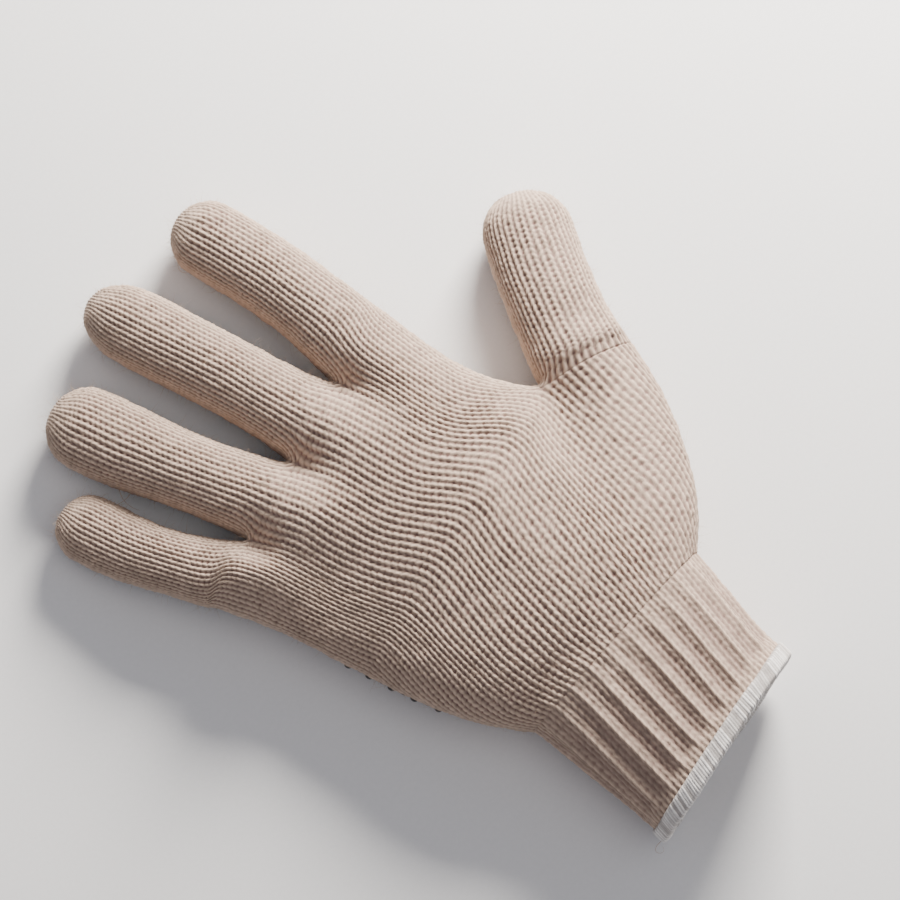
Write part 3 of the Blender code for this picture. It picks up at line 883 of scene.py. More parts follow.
@dataclass
class Cloth:
    """A piece in the making: vertices with their relief, and faces."""

    name: str
    points: list[np.ndarray] = field(default_factory=list)
    reliefs: list[np.ndarray] = field(default_factory=list)
    quads: list[np.ndarray] = field(default_factory=list)
    rims: list[list[int]] = field(default_factory=list)
    count: int = 0

    def add(self, points: np.ndarray, relief: np.ndarray) -> np.ndarray:
        """Adds a grid of vertices.

        Args:
            points: Their places, as a grid of triples.
            relief: Their relief, as a grid.

        Returns:
            Their numbers, in the same grid.
        """
        numbers = self.count + np.arange(relief.size).reshape(relief.shape)
        self.points.append(points.reshape(-1, 3))
        self.reliefs.append(relief.reshape(-1))
        self.count += relief.size
        return numbers

    def cover(self, numbers: np.ndarray, inward: bool = False) -> None:
        """Faces over a grid of vertices, turned inward for a lining.

        Args:
            numbers: The vertices' numbers.
            inward: Whether the faces look the other way.
        """
        a, b, c, d = numbers[:-1, :-1], numbers[1:, :-1], numbers[1:, 1:], numbers[:-1, 1:]
        four = (a, d, c, b) if inward else (a, b, c, d)
        self.quads.append(np.stack(four, axis=-1).reshape(-1, 4))

    def rim(self, outer: np.ndarray, inner: np.ndarray) -> None:
        """Closes the wall between an outer edge and a coarser inner one that runs beside it.

        Args:
            outer: The outer edge's vertices.
            inner: The inner edge's.
        """
        step = (len(outer) - 1) // (len(inner) - 1)
        for i in range(len(inner) - 1):
            edge = outer[i * step: (i + 1) * step + 1].tolist()
            self.rims.append([*reversed(edge), int(inner[i]), int(inner[i + 1])])

    def finish(self) -> bpy.types.Object:
        """Joins what meets and makes the object.

        Returns:
            The piece.
        """
        points = np.concatenate(self.points)
        relief = np.concatenate(self.reliefs)
        whole = np.round(points / WELD).astype(np.int64) + (1 << KEY_BITS - 1)
        keys = (whole[:, 0] << 2 * KEY_BITS) + (whole[:, 1] << KEY_BITS) + whole[:, 2]
        _, first, number = np.unique(keys, return_index=True, return_inverse=True)
        faces = number[np.concatenate(self.quads)].tolist()
        faces += [[int(number[i]) for i in rim] for rim in self.rims]
        piece = smooth_piece(self.name, points[first].tolist(), faces)
        # the relief also colours the yarn, darker the lower it is, as painted shade
        layer = piece.data.attributes.new("relief", "FLOAT", "POINT")
        layer.data.foreach_set("value", relief[first])
        return piece


def smooth_piece(name: str, points: list[list[float]], faces: list[Sequence[int]]) -> bpy.types.Object:
    """Makes a smoothly shaded object of points and faces, at the origin.

    Args:
        name: The piece's name.
        points: The places of its vertices.
        faces: The vertices of each face.

    Returns:
        The piece.
    """
    mesh = bpy.data.meshes.new(name)
    mesh.from_pydata(points, [], faces)
    mesh.validate()
    deselect()
    piece = bpy.data.objects.new(name, mesh)
    bpy.context.scene.collection.objects.link(piece)
    piece.select_set(True)
    bpy.context.view_layer.objects.active = piece
    bpy.ops.object.shade_smooth()
    return piece


def read_mesh(mesh: bpy.types.Mesh, what: str) -> np.ndarray:
    """The places ("co") or directions ("normal") of a mesh's vertices.

    Args:
        mesh: The mesh.
        what: Which of the two is read.

    Returns:
        One row for each vertex.
    """
    values = np.empty(len(mesh.vertices) * 3, np.float32)
    mesh.vertices.foreach_get(what, values)
    return values.reshape(-1, 3).astype(float)


@dataclass
class Skin:
    """The smooth outer skin of the hand and its stalls, as patches in the frame of the solids."""

    sizes: HandSizes
    shift: np.ndarray = field(default_factory=lambda: np.zeros(3))
    patches: list[Patch] = field(default_factory=list)

    def fit(self, helper: bpy.types.Object, rounds: int = 3) -> np.ndarray:
        """Moves the cage so that the smooth skin passes through its first places.

        Args:
            helper: The cage with its subdivision at the first level.
            rounds: How often the remaining difference is taken out.

        Returns:
            The skin's points at that level.
        """
        targets = read_mesh(helper.data, "co")
        for _ in range(rounds):
            reached = read_mesh(self.evaluated(helper), "co")[: len(targets)]
            moved = read_mesh(helper.data, "co") + targets - reached
            helper.data.vertices.foreach_set("co", moved.astype(np.float32).ravel())
            helper.data.update()
        return read_mesh(self.evaluated(helper), "co")

    def evaluated(self, helper: bpy.types.Object) -> bpy.types.Mesh:
        """The helper's mesh with its modifiers, as a copy."""
        graph = bpy.context.evaluated_depsgraph_get()
        return bpy.data.meshes.new_from_object(helper.evaluated_get(graph))

    def shape(self, mesh: bpy.types.Mesh) -> None:
        """Sinks the dents into the back and presses the underside flat where it rests.

        Args:
            mesh: The smooth skin in the frame of the rows, which is moved on to the solids.
        """
        points, facing_up = read_mesh(mesh, "co"), smooth_step(read_mesh(mesh, "normal")[:, 2])
        for dent in DENTS:
            centre = self.sizes.place(dent.across, dent.along)
            x = (points[:, 0] - centre.x) / (dent.reach_x * self.sizes.palm_width)
            y = (points[:, 1] - centre.y) / (dent.reach_y * self.sizes.hand_length)
            depth = dent.depth * self.sizes.palm_thickness
            points[:, 2] -= depth * np.exp(-x * x - y * y) * facing_up
        points[:, 2] = np.maximum(points[:, 2], self.sizes.rest_press)
        points += self.shift
        mesh.vertices.foreach_set("co", points.astype(np.float32).ravel())
        mesh.update()

    def build(self) -> None:
        """Smooths the cage, shapes the skin and reads its patches."""
        cage = Cage(self.sizes)
        cage.build()
        layer = cage.bm.loops.layers.uv.new("patch")
        cage.bm.verts.index_update()
        corners = []
        for number, face in enumerate(cage.bm.faces):
            corners.append(tuple(vertex.index for vertex in face.verts))
            for loop, (s, t) in zip(face.loops, ((0, 0), (1, 0), (1, 1), (0, 1))):
                loop[layer].uv = (2 * number + s, t)
        mesh = bpy.data.meshes.new("cage")
        cage.bm.to_mesh(mesh)
        cage.bm.free()
        helper = bpy.data.objects.new("cage", mesh)
        bpy.context.scene.collection.objects.link(helper)
        subdivision = helper.modifiers.new("Smooth", "SUBSURF")
        subdivision.uv_smooth = "NONE"
        subdivision.levels = subdivision.render_levels = 1
        coarse = self.fit(helper)
        high = coarse.max(axis=0)
        self.shift = np.array(
            [CAD_BOX[1][0] - high[0], CAD_BOX[1][1] - high[1], -self.sizes.rest_press]
        )
        subdivision.levels = subdivision.render_levels = PATCH_LEVEL
        fine = self.evaluated(helper)
        self.shape(fine)
        self.read(fine, cage.charts, corners)
        bpy.data.objects.remove(helper)

    def read(self, fine: bpy.types.Mesh, charts: list[Chart], corners: list[tuple[int, ...]]) -> None:
        """Sorts the fine skin's vertices into one grid per face of the cage.

        Args:
            fine: The smooth skin, whose patch map numbers the faces and places its vertices.
            charts: The stitches of each face.
            corners: The cage's vertices of each face.
        """
        steps = 2**PATCH_LEVEL
        places = np.empty(len(fine.loops) * 2, np.float32)
        fine.uv_layers["patch"].uv.foreach_get("vector", places)
        places = places.reshape(-1, 2)
        vertex = np.empty(len(fine.loops), np.int32)
        fine.loops.foreach_get("vertex_index", vertex)
        number = np.floor(places[:, 0] / 2 + UV_SLACK).astype(int)
        i = np.round((places[:, 0] - 2 * number) * steps).astype(int)
        j = np.round(places[:, 1] * steps).astype(int)
        points, normals = read_mesh(fine, "co"), read_mesh(fine, "normal")
        grid = np.zeros((2, len(charts), steps + 1, steps + 1, 3))
        grid[0, number, i, j] = points[vertex]
        grid[1, number, i, j] = normals[vertex]
        self.patches = [
            Patch(chart, four, grid[0, k], grid[1, k])
            for k, (chart, four) in enumerate(zip(charts, corners))
        ]

    def wrist_edge(self, wale: np.ndarray) -> tuple[np.ndarray, np.ndarray]:
        """Points and directions of the hand's lower edge at counts of wales round it.

        Args:
            wale: The counts.

        Returns:
            Both, one row for each count.
        """
        counts, points, normals = [], [], []
        for patch in self.patches:
            chart = patch.chart
            if chart.zone is Zone.HAND and chart.start == 0:
                counts.append(np.linspace(chart.low[0], chart.low[1], len(patch.points)))
                points.append(patch.points[:, 0])
                normals.append(patch.normals[:, 0])
        counts = np.concatenate(counts)
        order = np.argsort(counts, kind="stable")

        def along(values: list[np.ndarray]) -> np.ndarray:
            """Triples of the edge's rows, read at the wanted counts.

            Args:
                values: The rows of each patch.

            Returns:
                A row for each count.
            """
            table = np.concatenate(values)[order]
            return np.stack([
                np.interp(wale, counts[order], table[:, k], period=CUFF_WALES) for k in range(3)
            ], axis=1)

        return along(points), along(normals)

    def knit(self, name: str, chosen: list[Patch]) -> bpy.types.Object:
        """Knits some of the patches as one closed wall.

        Args:
            name: The piece's name.
            chosen: The patches.

        Returns:
            The piece.
        """
        uses = {}
        for patch in chosen:
            for a, b in zip(patch.corners, patch.corners[1:] + patch.corners[:1]):
                uses[frozenset((a, b))] = uses.get(frozenset((a, b)), 0) + 1
        cloth = Cloth(name)
        for patch in chosen:
            chart = patch.chart
            outer = self.sheet(cloth, patch, chart.samples_across(), SAMPLES_ALONG * chart.courses)
            inner = self.lining(cloth, patch)
            sides = (
                (outer[:, 0], inner[:, 0]), (outer[-1], inner[-1]),
                (outer[::-1, -1], inner[::-1, -1]), (outer[0, ::-1], inner[0, ::-1]),
            )
            for side, (a, b) in zip(sides, zip(patch.corners, patch.corners[1:] + patch.corners[:1])):
                if uses[frozenset((a, b))] == 1:
                    cloth.rim(*side)
        return cloth.finish()

    def sheet(self, cloth: Cloth, patch: Patch, across: int, along: int) -> np.ndarray:
        """The outer, knitted side of a patch.

        Args:
            cloth: What it is added to.
            patch: The patch.
            across: How many steps it has across.
            along: How many it has along.

        Returns:
            The grid of its vertices' numbers.
        """
        s, t = np.meshgrid(np.linspace(0, 1, across + 1), np.linspace(0, 1, along + 1), indexing="ij")
        points, normals = patch.sample(s, t)
        chart = patch.chart
        low = chart.low[0] + (chart.low[1] - chart.low[0]) * s
        high = chart.high[0] + (chart.high[1] - chart.high[0]) * s
        wale = low + (high - low) * t
        course = chart.start + t * chart.courses
        distance = self.sizes.cuff_length + BODY_GAUGE.course * course
        if chart.zone is Zone.HAND:
            groove, tight = rib_groove(wale, distance), cuff_tightness(distance)
        else:
            left = self.last_course(chart.zone) - course
            groove, tight = 0.0, smooth_step((TIP_COURSES - left) / TIP_EASE)
        numbers = cloth.add(*knit_points(points, normals, wale, course, groove, tight))
        cloth.cover(numbers)
        return numbers

    def last_course(self, zone: Zone) -> int:
        """The course at the end of the hand or of a stall.

        Args:
            zone: Which of them.

        Returns:
            The course.
        """
        return max(
            patch.chart.start + patch.chart.courses
            for patch in self.patches if patch.chart.zone is zone
        )

    def lining(self, cloth: Cloth, patch: Patch) -> np.ndarray:
        """The plain inner side of a patch, one wall further in.

        Args:
            cloth: What it is added to.
            patch: The patch.

        Returns:
            The grid of its vertices' numbers.
        """
        chart = patch.chart
        s, t = np.meshgrid(
            np.linspace(0, 1, chart.wales + 1), np.linspace(0, 1, chart.courses + 1), indexing="ij"
        )
        points, normals = patch.sample(s, t)
        # the lining is coloured dark as painted shade inside the glove
        numbers = cloth.add(points - normals * self.sizes.wall, np.full(s.shape, LINING_SHADE_RELIEF))
        cloth.cover(numbers, inward=True)
        return numbers


@dataclass(frozen=True)
class GripDots:
    """The rubber dots printed on the palm side, on one lattice over hand and fingers."""

    across: float = 1.19
    along: float = 1.85
    radius: float = 1.35 * MM
    height: float = 0.75 * MM
    sunk: float = 0.35 * MM
    bedding: float = 0.10 * MM
    lowest: float = 0.079
    side_top: float = 0.113
    edge_normal: float = -0.02
    under_normal: float = -0.42
    plain_tip: float = 4.0
    segments: int = 10
    rings: int = 3

    def places(self, patch: Patch) -> list[tuple[float, float]]:
        """Where dots fall on a patch, as places across and along it.

        Args:
            patch: The patch.

        Returns:
            The places, each from 0 to 1.
        """
        chart = patch.chart
        first, last = chart.lattice
        found = []
        row = math.ceil(chart.start / self.along)
        while row * self.along < chart.start + chart.courses:
            half = 0.5 * (row % 2)
            column = math.ceil(last / self.across - half)
            while (column + half) * self.across < first:
                s = (first - (column + half) * self.across) / chart.wales
                found.append((s, (row * self.along - chart.start) / chart.courses))
                column += 1
            row += 1
        return found

    def printed(self, place: np.ndarray, normal: np.ndarray, zone: Zone) -> bool:
        """Whether the print reached a place, given in the frame of the rows.

        It reaches up the side only along the palm's little-finger edge.
        """
        on_edge = zone is Zone.HAND and place[0] < 0 and place[1] < self.side_top
        return place[1] > self.lowest and normal[2] < (self.edge_normal if on_edge else self.under_normal)

    def build(self, skin: Skin) -> bpy.types.Object:
        """Makes every dot as a low dome and joins them.

        Args:
            skin: The hand's skin.

        Returns:
            The piece.
        """
        points, faces = [], []
        turns = np.arange(self.segments) * 2 * math.pi / self.segments
        for patch in skin.patches:
            chart = patch.chart
            if not chart.palm or chart.lattice == (0, 0):
                continue
            end = skin.last_course(chart.zone) - self.plain_tip
            for s, t in self.places(patch):
                if chart.zone is not Zone.HAND and chart.start + t * chart.courses > end:
                    continue
                centre, normal = (values[0] for values in patch.sample(np.array([s]), np.array([t])))
                if self.printed(centre - skin.shift, normal, chart.zone):
                    self.dome(points, faces, centre, normal, turns)
        return smooth_piece("grip_dots", [point.tolist() for point in points], faces)

    def dome(self, points: list[np.ndarray], faces: list[tuple[int, ...]], centre: np.ndarray,
             normal: np.ndarray, turns: np.ndarray) -> None:
        """Adds one dome, whose foot is sunk into the yarn.

        Args:
            points: The vertices so far, which get the dome's.
            faces: The faces so far, which get the dome's.
            centre: Where the dome stands on the smooth skin.
            normal: The skin's outward direction there.
            turns: The angles of its vertices round the middle.
        """
        side = np.cross(normal, (0.0, 1.0, 0.0))
        side /= np.linalg.norm(side)
        other = np.cross(normal, side)
        crest = YARN_RISE - YARN_SINK - PALM_INSET * float(smooth_step(-normal[2]))
        foot = centre + normal * (crest - self.sunk)
        tall = self.height + self.sunk - self.bedding
        first = len(points)
        for ring in range(self.rings):
            angle = ring / self.rings * math.pi / 2
            out, up = self.radius * math.cos(angle), tall * math.sin(angle)
            for turn in turns:
                spot = foot + (side * math.cos(turn) + other * math.sin(turn)) * out + normal * up
                spot[2] = max(spot[2], 0.0)
                points.append(spot)
        top = foot + normal * tall
        top[2] = max(top[2], 0.0)
        points.append(top)
        count = self.segments
        for ring in range(self.rings - 1):
            base = first + ring * count
            for k in range(count):
                after = (k + 1) % count
                faces.append((base + k, base + after, base + count + after, base + count + k))
        base, tip = first + (self.rings - 1) * count, first + self.rings * count
        faces.extend((base + k, base + (k + 1) % count, tip) for k in range(count))
        faces.append(tuple(first + k for k in reversed(range(count))))


MOUTH_TURN_SHARE = 0.3
WIDENING_POWER = 1.5
OUTLINE_STEPS = 1441
NORMAL_STEP = 0.008
MID_BACK = 0.25


@dataclass
class CuffLine:
    """The cuff's middle line and sections, from the mouth at 0 to the wrist at 1."""

    sizes: HandSizes
    shift: np.ndarray

    def __post_init__(self) -> None:
        """Works out the wrist's section from the lowest row of the hand."""
        row, sizes = LOW_ROWS[0], self.sizes
        little = sizes.place(row.little_x, row.little_y)
        thumb = sizes.place(row.thumb_x, row.thumb_y)
        self.wrist_middle = (little + thumb) / 2
        self.wrist_turn = math.atan2(thumb.y - little.y, thumb.x - little.x)
        self.wrist_top = row.top * sizes.palm_thickness
        self.wrist_bottom = row.bottom * sizes.palm_thickness

    def section(self, share: float) -> tuple[float, float, float]:
        """Half width, top and bottom of the outer surface at a share of the cuff.

        Args:
            share: 0 at the mouth and 1 at the wrist.

        Returns:
            The three sizes, in metres.
        """
        sizes, ease = self.sizes, share**WIDENING_POWER
        half = sizes.mouth_width / 2 + (sizes.wrist_width - sizes.mouth_width) / 2 * ease
        low = sizes.rest_press + sizes.hem_thickness
        high = low + sizes.mouth_height
        return half, high + (self.wrist_top - high) * ease, low + (self.wrist_bottom - low) * ease

    def along(self) -> np.ndarray:
        """The cuff's direction at the mouth."""
        turn = self.wrist_turn * MOUTH_TURN_SHARE
        return np.array((-math.sin(turn), math.cos(turn), 0.0))

    def frame(self, share: float) -> tuple[np.ndarray, np.ndarray]:
        """Middle of a section and its direction across, both in the frame of the solids.

        Args:
            share: Where the section is.

        Returns:
            The middle and the unit direction.
        """
        turned = MOUTH_TURN_SHARE + (1 - MOUTH_TURN_SHARE) * float(smooth_step(share))
        turn = self.wrist_turn * turned
        middle = np.array(self.wrist_middle) * share + self.shift
        return middle, np.array((math.cos(turn), math.sin(turn), 0.0))

    def outline(self, share: float) -> tuple[np.ndarray, np.ndarray, np.ndarray]:
        """One section's closed outline from the thumb's side over the back.

        Args:
            share: Where the section is.

        Returns:
            Distances across, heights, and shares of the outline's length.
        """
        half, top, bottom = self.section(share)
        middle, rise = (top + bottom) / 2, (top - bottom) / 2
        turn = np.linspace(0, 2 * math.pi, OUTLINE_STEPS)
        fullness = np.where(np.sin(turn) >= 0, self.sizes.back_fullness, self.sizes.palm_fullness)
        across = np.copysign(np.abs(np.cos(turn)) ** (2 / fullness), np.cos(turn)) * half
        height = np.copysign(np.abs(np.sin(turn)) ** (2 / fullness), np.sin(turn)) * rise + middle
        travelled = np.concatenate([[0.0], np.cumsum(np.hypot(np.diff(across), np.diff(height)))])
        return across, height, travelled / travelled[-1]

    def ring(self, share: float, places: np.ndarray) -> tuple[np.ndarray, np.ndarray]:
        """Points and outward directions round one section.

        Args:
            share: Where the section is.
            places: Shares of the outline's length from the thumb's side over the back.

        Returns:
            Both as one row per place.
        """
        across, height, travelled = self.outline(share)

        def at(where: np.ndarray) -> tuple[np.ndarray, np.ndarray]:
            """Distances across and heights at shares of the outline's length."""
            where = where % 1.0
            return np.interp(where, travelled, across), np.interp(where, travelled, height)

        x, z = at(places)
        next_x, next_z = at(places + NORMAL_STEP)
        last_x, last_z = at(places - NORMAL_STEP)
        out_x, out_z = next_z - last_z, last_x - next_x
        length = np.hypot(out_x, out_z)
        centre, side = self.frame(share)
        lift = np.array((0.0, 0.0, 1.0))
        points = centre + x[:, None] * side + z[:, None] * lift
        return points, (out_x / length)[:, None] * side + (out_z / length)[:, None] * lift

    def places_of(self, points: np.ndarray) -> np.ndarray:
        """Shares of the wrist section's length that lie nearest to some points.

        Args:
            points: The points.

        Returns:
            A share for each.
        """
        across, height, travelled = self.outline(1.0)
        centre, side = self.frame(1.0)
        x, z = (points - centre) @ side, points[:, 2] - centre[2]
        away = np.hypot(x[:, None] - across[None, :-1], z[:, None] - height[None, :-1])
        return travelled[away.argmin(axis=1)]


@dataclass(frozen=True)
class Cuff:
    """The ribbed cuff, whose wales run on into the hand's."""

    course: float = 2.6 * MM
    start: float = 0.02
    flat_end: float = 5 * MM
    lap: float = 0.9 * MM
    lap_depth: float = 0.22 * MM
    blend_start: float = 0.5

    def build(self, line: CuffLine, skin: Skin) -> bpy.types.Object:
        """Knits the cuff from under the hem to the wrist.

        Args:
            line: The cuff's line.
            skin: The hand's skin.

        Returns:
            The piece.
        """
        courses = round(line.sizes.cuff_length * (1 - self.start) / self.course)
        cloth = Cloth("cuff_knit")
        outer = self.sheet(cloth, line, skin, courses)
        inner = self.lining(cloth, line, skin, courses)
        cloth.rim(outer[::-1, 0], inner[::-1, 0])
        cloth.rim(outer[:, -1], inner[:, -1])
        return cloth.finish()

    def surface(self, line: CuffLine, skin: Skin, wale: np.ndarray, shares: np.ndarray
                ) -> tuple[np.ndarray, np.ndarray]:
        """Points and directions of the cuff's outer side, which ends on the hand's edge.

        Args:
            line: The cuff's line.
            skin: The hand's skin.
            wale: Counts of wales, from minus half of them to half of them.
            shares: Places from the mouth to the wrist.

        Returns:
            Both as a grid of wales by shares.
        """
        edge, edge_normals = skin.wrist_edge(wale)
        even = MID_BACK - (wale - RIDGE_LINE) / CUFF_WALES
        found = line.places_of(edge)
        found = even + (found - even + 0.5) % 1.0 - 0.5
        rest = edge - line.ring(1.0, found)[0]
        points, normals = [], []
        for share in shares:
            places = even + (found - even) * float(smooth_step(share))
            surface, outward = line.ring(share, places)
            near_end = float(smooth_step((share - self.blend_start) / (1 - self.blend_start)))
            points.append(surface + rest * near_end)
            mixed = outward * (1 - near_end) + edge_normals * near_end
            normals.append(mixed / np.linalg.norm(mixed, axis=1, keepdims=True))
        return np.stack(points, axis=1), np.stack(normals, axis=1)

    def sheet(self, cloth: Cloth, line: CuffLine, skin: Skin, courses: int) -> np.ndarray:
        """The cuff's outer, ribbed side, whose last row laps under the hand's.

        Args:
            cloth: What it is added to.
            line: The cuff's line.
            skin: The hand's skin.
            courses: How many courses it has.

        Returns:
            The grid of its vertices' numbers.
        """
        wale = np.arange(CUFF_WALES * SAMPLES_ACROSS + 1) / SAMPLES_ACROSS - CUFF_WALES / 2
        course = np.arange(courses * SAMPLES_ALONG + 1) / SAMPLES_ALONG
        shares = self.start + (1 - self.start) * course / courses
        points, normals = self.surface(line, skin, wale, shares)
        wale, course = np.meshgrid(wale, course, indexing="ij")
        sizes = line.sizes
        distance = (self.start + (1 - self.start) * course / courses) * sizes.cuff_length
        groove = rib_groove(wale, distance)
        groove = groove * smooth_step((distance - sizes.hem_width) / self.flat_end)
        tight = cuff_tightness(distance)
        raised, relief = knit_points(points, normals, wale, course, groove, tight)
        side = line.frame(1.0)[1]
        ahead = np.array((-side[1], side[0], 0.0)) * self.lap
        last = raised[:, -1:] + ahead - normals[:, -1:] * self.lap_depth
        raised = np.concatenate([raised, last], axis=1)
        numbers = cloth.add(raised, np.concatenate([relief, relief[:, -1:]], axis=1))
        cloth.cover(numbers)
        return numbers

    def lining(self, cloth: Cloth, line: CuffLine, skin: Skin, courses: int) -> np.ndarray:
        """The cuff's plain inner side.

        Args:
            cloth: What it is added to.
            line: The cuff's line.
            skin: The hand's skin.
            courses: How many courses it has.

        Returns:
            The grid of its vertices' numbers.
        """
        wale = np.arange(CUFF_WALES + 1) - CUFF_WALES / 2
        shares = self.start + (1 - self.start) * np.arange(courses + 1) / courses
        points, normals = self.surface(line, skin, wale, shares)
        inner = points - normals * line.sizes.wall
        # the lining is coloured dark as painted shade inside the glove
        numbers = cloth.add(inner, np.full(inner.shape[:2], LINING_SHADE_RELIEF))
        cloth.cover(numbers, inward=True)
        return numbers


@dataclass(frozen=True)
class Hem:
    """The overlocked hem: yarn wound closely round the cuff's raw edge.

    sunk is the share of a thread's height below the band's own surface, and flattest what is
    left of that height where the band ends. foot and shoulder are the first two points of its section
    and heel the last, out and back in shares of the hem's thickness.
    """

    threads: int = 190
    samples: int = 7
    thread_height: float = 0.26 * MM
    thinnest: float = 0.25
    thickest: float = 1.20
    slant: float = 2.2
    sunk: float = 0.8
    flattest: float = 0.35
    foot: tuple[float, float] = (0.35, 0.6)
    shoulder: tuple[float, float] = (0.8, 0.9)
    heel: tuple[float, float] = (0.3, 0.6)
    outer_steps: int = 7
    edge_steps: int = 8
    inner_steps: int = 4
    wave: Ripple = Ripple(9 * MM, 0.5 * MM, 15)
    wander: Ripple = Ripple(4 * MM, 0.45, 16)
    seed: int = 21

    def profile(self, sizes: HandSizes) -> list[tuple[float, float]]:
        """The hem's section as distances out from the wall's outer side and beyond its edge.

        Args:
            sizes: The hand's sizes.

        Returns:
            The section's points, from the outer side to the inner.
        """
        thick, wall, wide = sizes.hem_thickness, sizes.wall, sizes.hem_width
        section = [(thick * out, -wide + thick * back) for out, back in (self.foot, self.shoulder)]
        steps = self.outer_steps
        section += [(thick, -wide + thick + (wide - thick) * i / steps) for i in range(1, steps)]
        middle, half = -wall / 2, wall / 2 + thick
        section += [
            (middle + half * math.cos(angle), thick * math.sin(angle))
            for angle in (math.pi * i / self.edge_steps for i in range(self.edge_steps + 1))
        ]
        section += [(-wall - thick, -wide * i / self.inner_steps) for i in range(1, self.inner_steps)]
        section.append((-wall - thick * self.heel[0], -wide + thick * self.heel[1]))
        return section

    def build(self, line: CuffLine) -> bpy.types.Object:
        """Makes the hem as one band of raised threads.

        Args:
            line: The cuff's line.

        Returns:
            The piece.
        """
        sizes, count = line.sizes, self.threads * self.samples
        profile = self.profile(sizes)
        beyond_way = line.along()
        around = np.arange(count + 1) / self.samples
        places = 1.0 - np.arange(count + 1) / count
        rng = np.random.default_rng(self.seed)
        thickness = rng.uniform(self.thinnest, self.thickest, self.threads)
        columns, reliefs = [], []
        for step, (out_by, beyond) in enumerate(profile):
            surface, outward = line.ring(max(0.0, -beyond) / sizes.cuff_length, places)
            before, after = profile[max(0, step - 1)], profile[min(len(profile) - 1, step + 1)]
            run = (after[0] - before[0], after[1] - before[1])
            length = math.hypot(*run)
            facing = outward * (run[1] / length) + beyond_way * (run[0] / length)
            phase = around + self.slant * step / len(profile) + self.wander.at(surface)
            thread = np.sqrt(np.clip(1 - (2 * (phase - np.floor(phase)) - 1) ** 2, 0, 1))
            thread *= thickness[np.floor(phase).astype(int) % self.threads]
            edge = min(1.0, step / 2, (len(profile) - 1 - step) / 2)
            shown = self.flattest + (1 - self.flattest) * edge
            thread = thread * shown * (1 + THICKNESS_DRIFT.at(surface))
            shift = max(0.0, beyond) + self.wave.at(surface)
            place = surface + outward * out_by - beyond_way * shift[:, None]
            place = place + facing * (self.thread_height * (thread - self.sunk))[:, None]
            place[:, 2] = np.maximum(place[:, 2], 0.0)
            columns.append(place)
            # the thread's height also colours it, darker between the threads as painted shade
            reliefs.append(np.clip(thread, 0, 1))
        cloth = Cloth("hem_overlock")
        numbers = cloth.add(np.stack(columns, axis=1), np.stack(reliefs, axis=1))
        cloth.cover(numbers, inward=True)
        end = (sizes.hem_width - sizes.hem_thickness) / sizes.cuff_length
        surface, outward = line.ring(end, places)
        back = [surface - outward * sizes.wall, surface]
        inner = np.stack(back, axis=1)
        # the hem's lining is coloured dark as painted shade inside the glove
        lining = cloth.add(inner, np.full(inner.shape[:2], LINING_SHADE_RELIEF))
        cloth.cover(lining, inward=True)
        cloth.cover(np.stack([numbers[:, -1], lining[:, 0]], axis=1), inward=True)
        cloth.cover(np.stack([lining[:, 1], numbers[:, 0]], axis=1), inward=True)
        return cloth.finish()


# four control points of each stray end, in millimetres in the frame of the rows
STRAY_ENDS = (
    ((-22.0, 200.0, 12.0), (-25.0, 198.5, 13.0), (-26.5, 194.5, 12.0), (-25.0, 191.0, 10.0)),
    ((-22.5, 196.0, 12.0), (-25.0, 196.0, 14.0), (-28.5, 197.0, 13.0), (-29.0, 201.0, 12.0)),
    ((49.8, 221.0, 10.0), (44.0, 221.5, 10.0), (45.5, 214.5, 9.0), (49.4, 217.5, 9.0)),
    ((-33.0, 3.0, 9.0), (-39.5, 5.5, 8.0), (-36.0, -1.5, 6.0), (-34.0, 2.0, 5.0)),
)


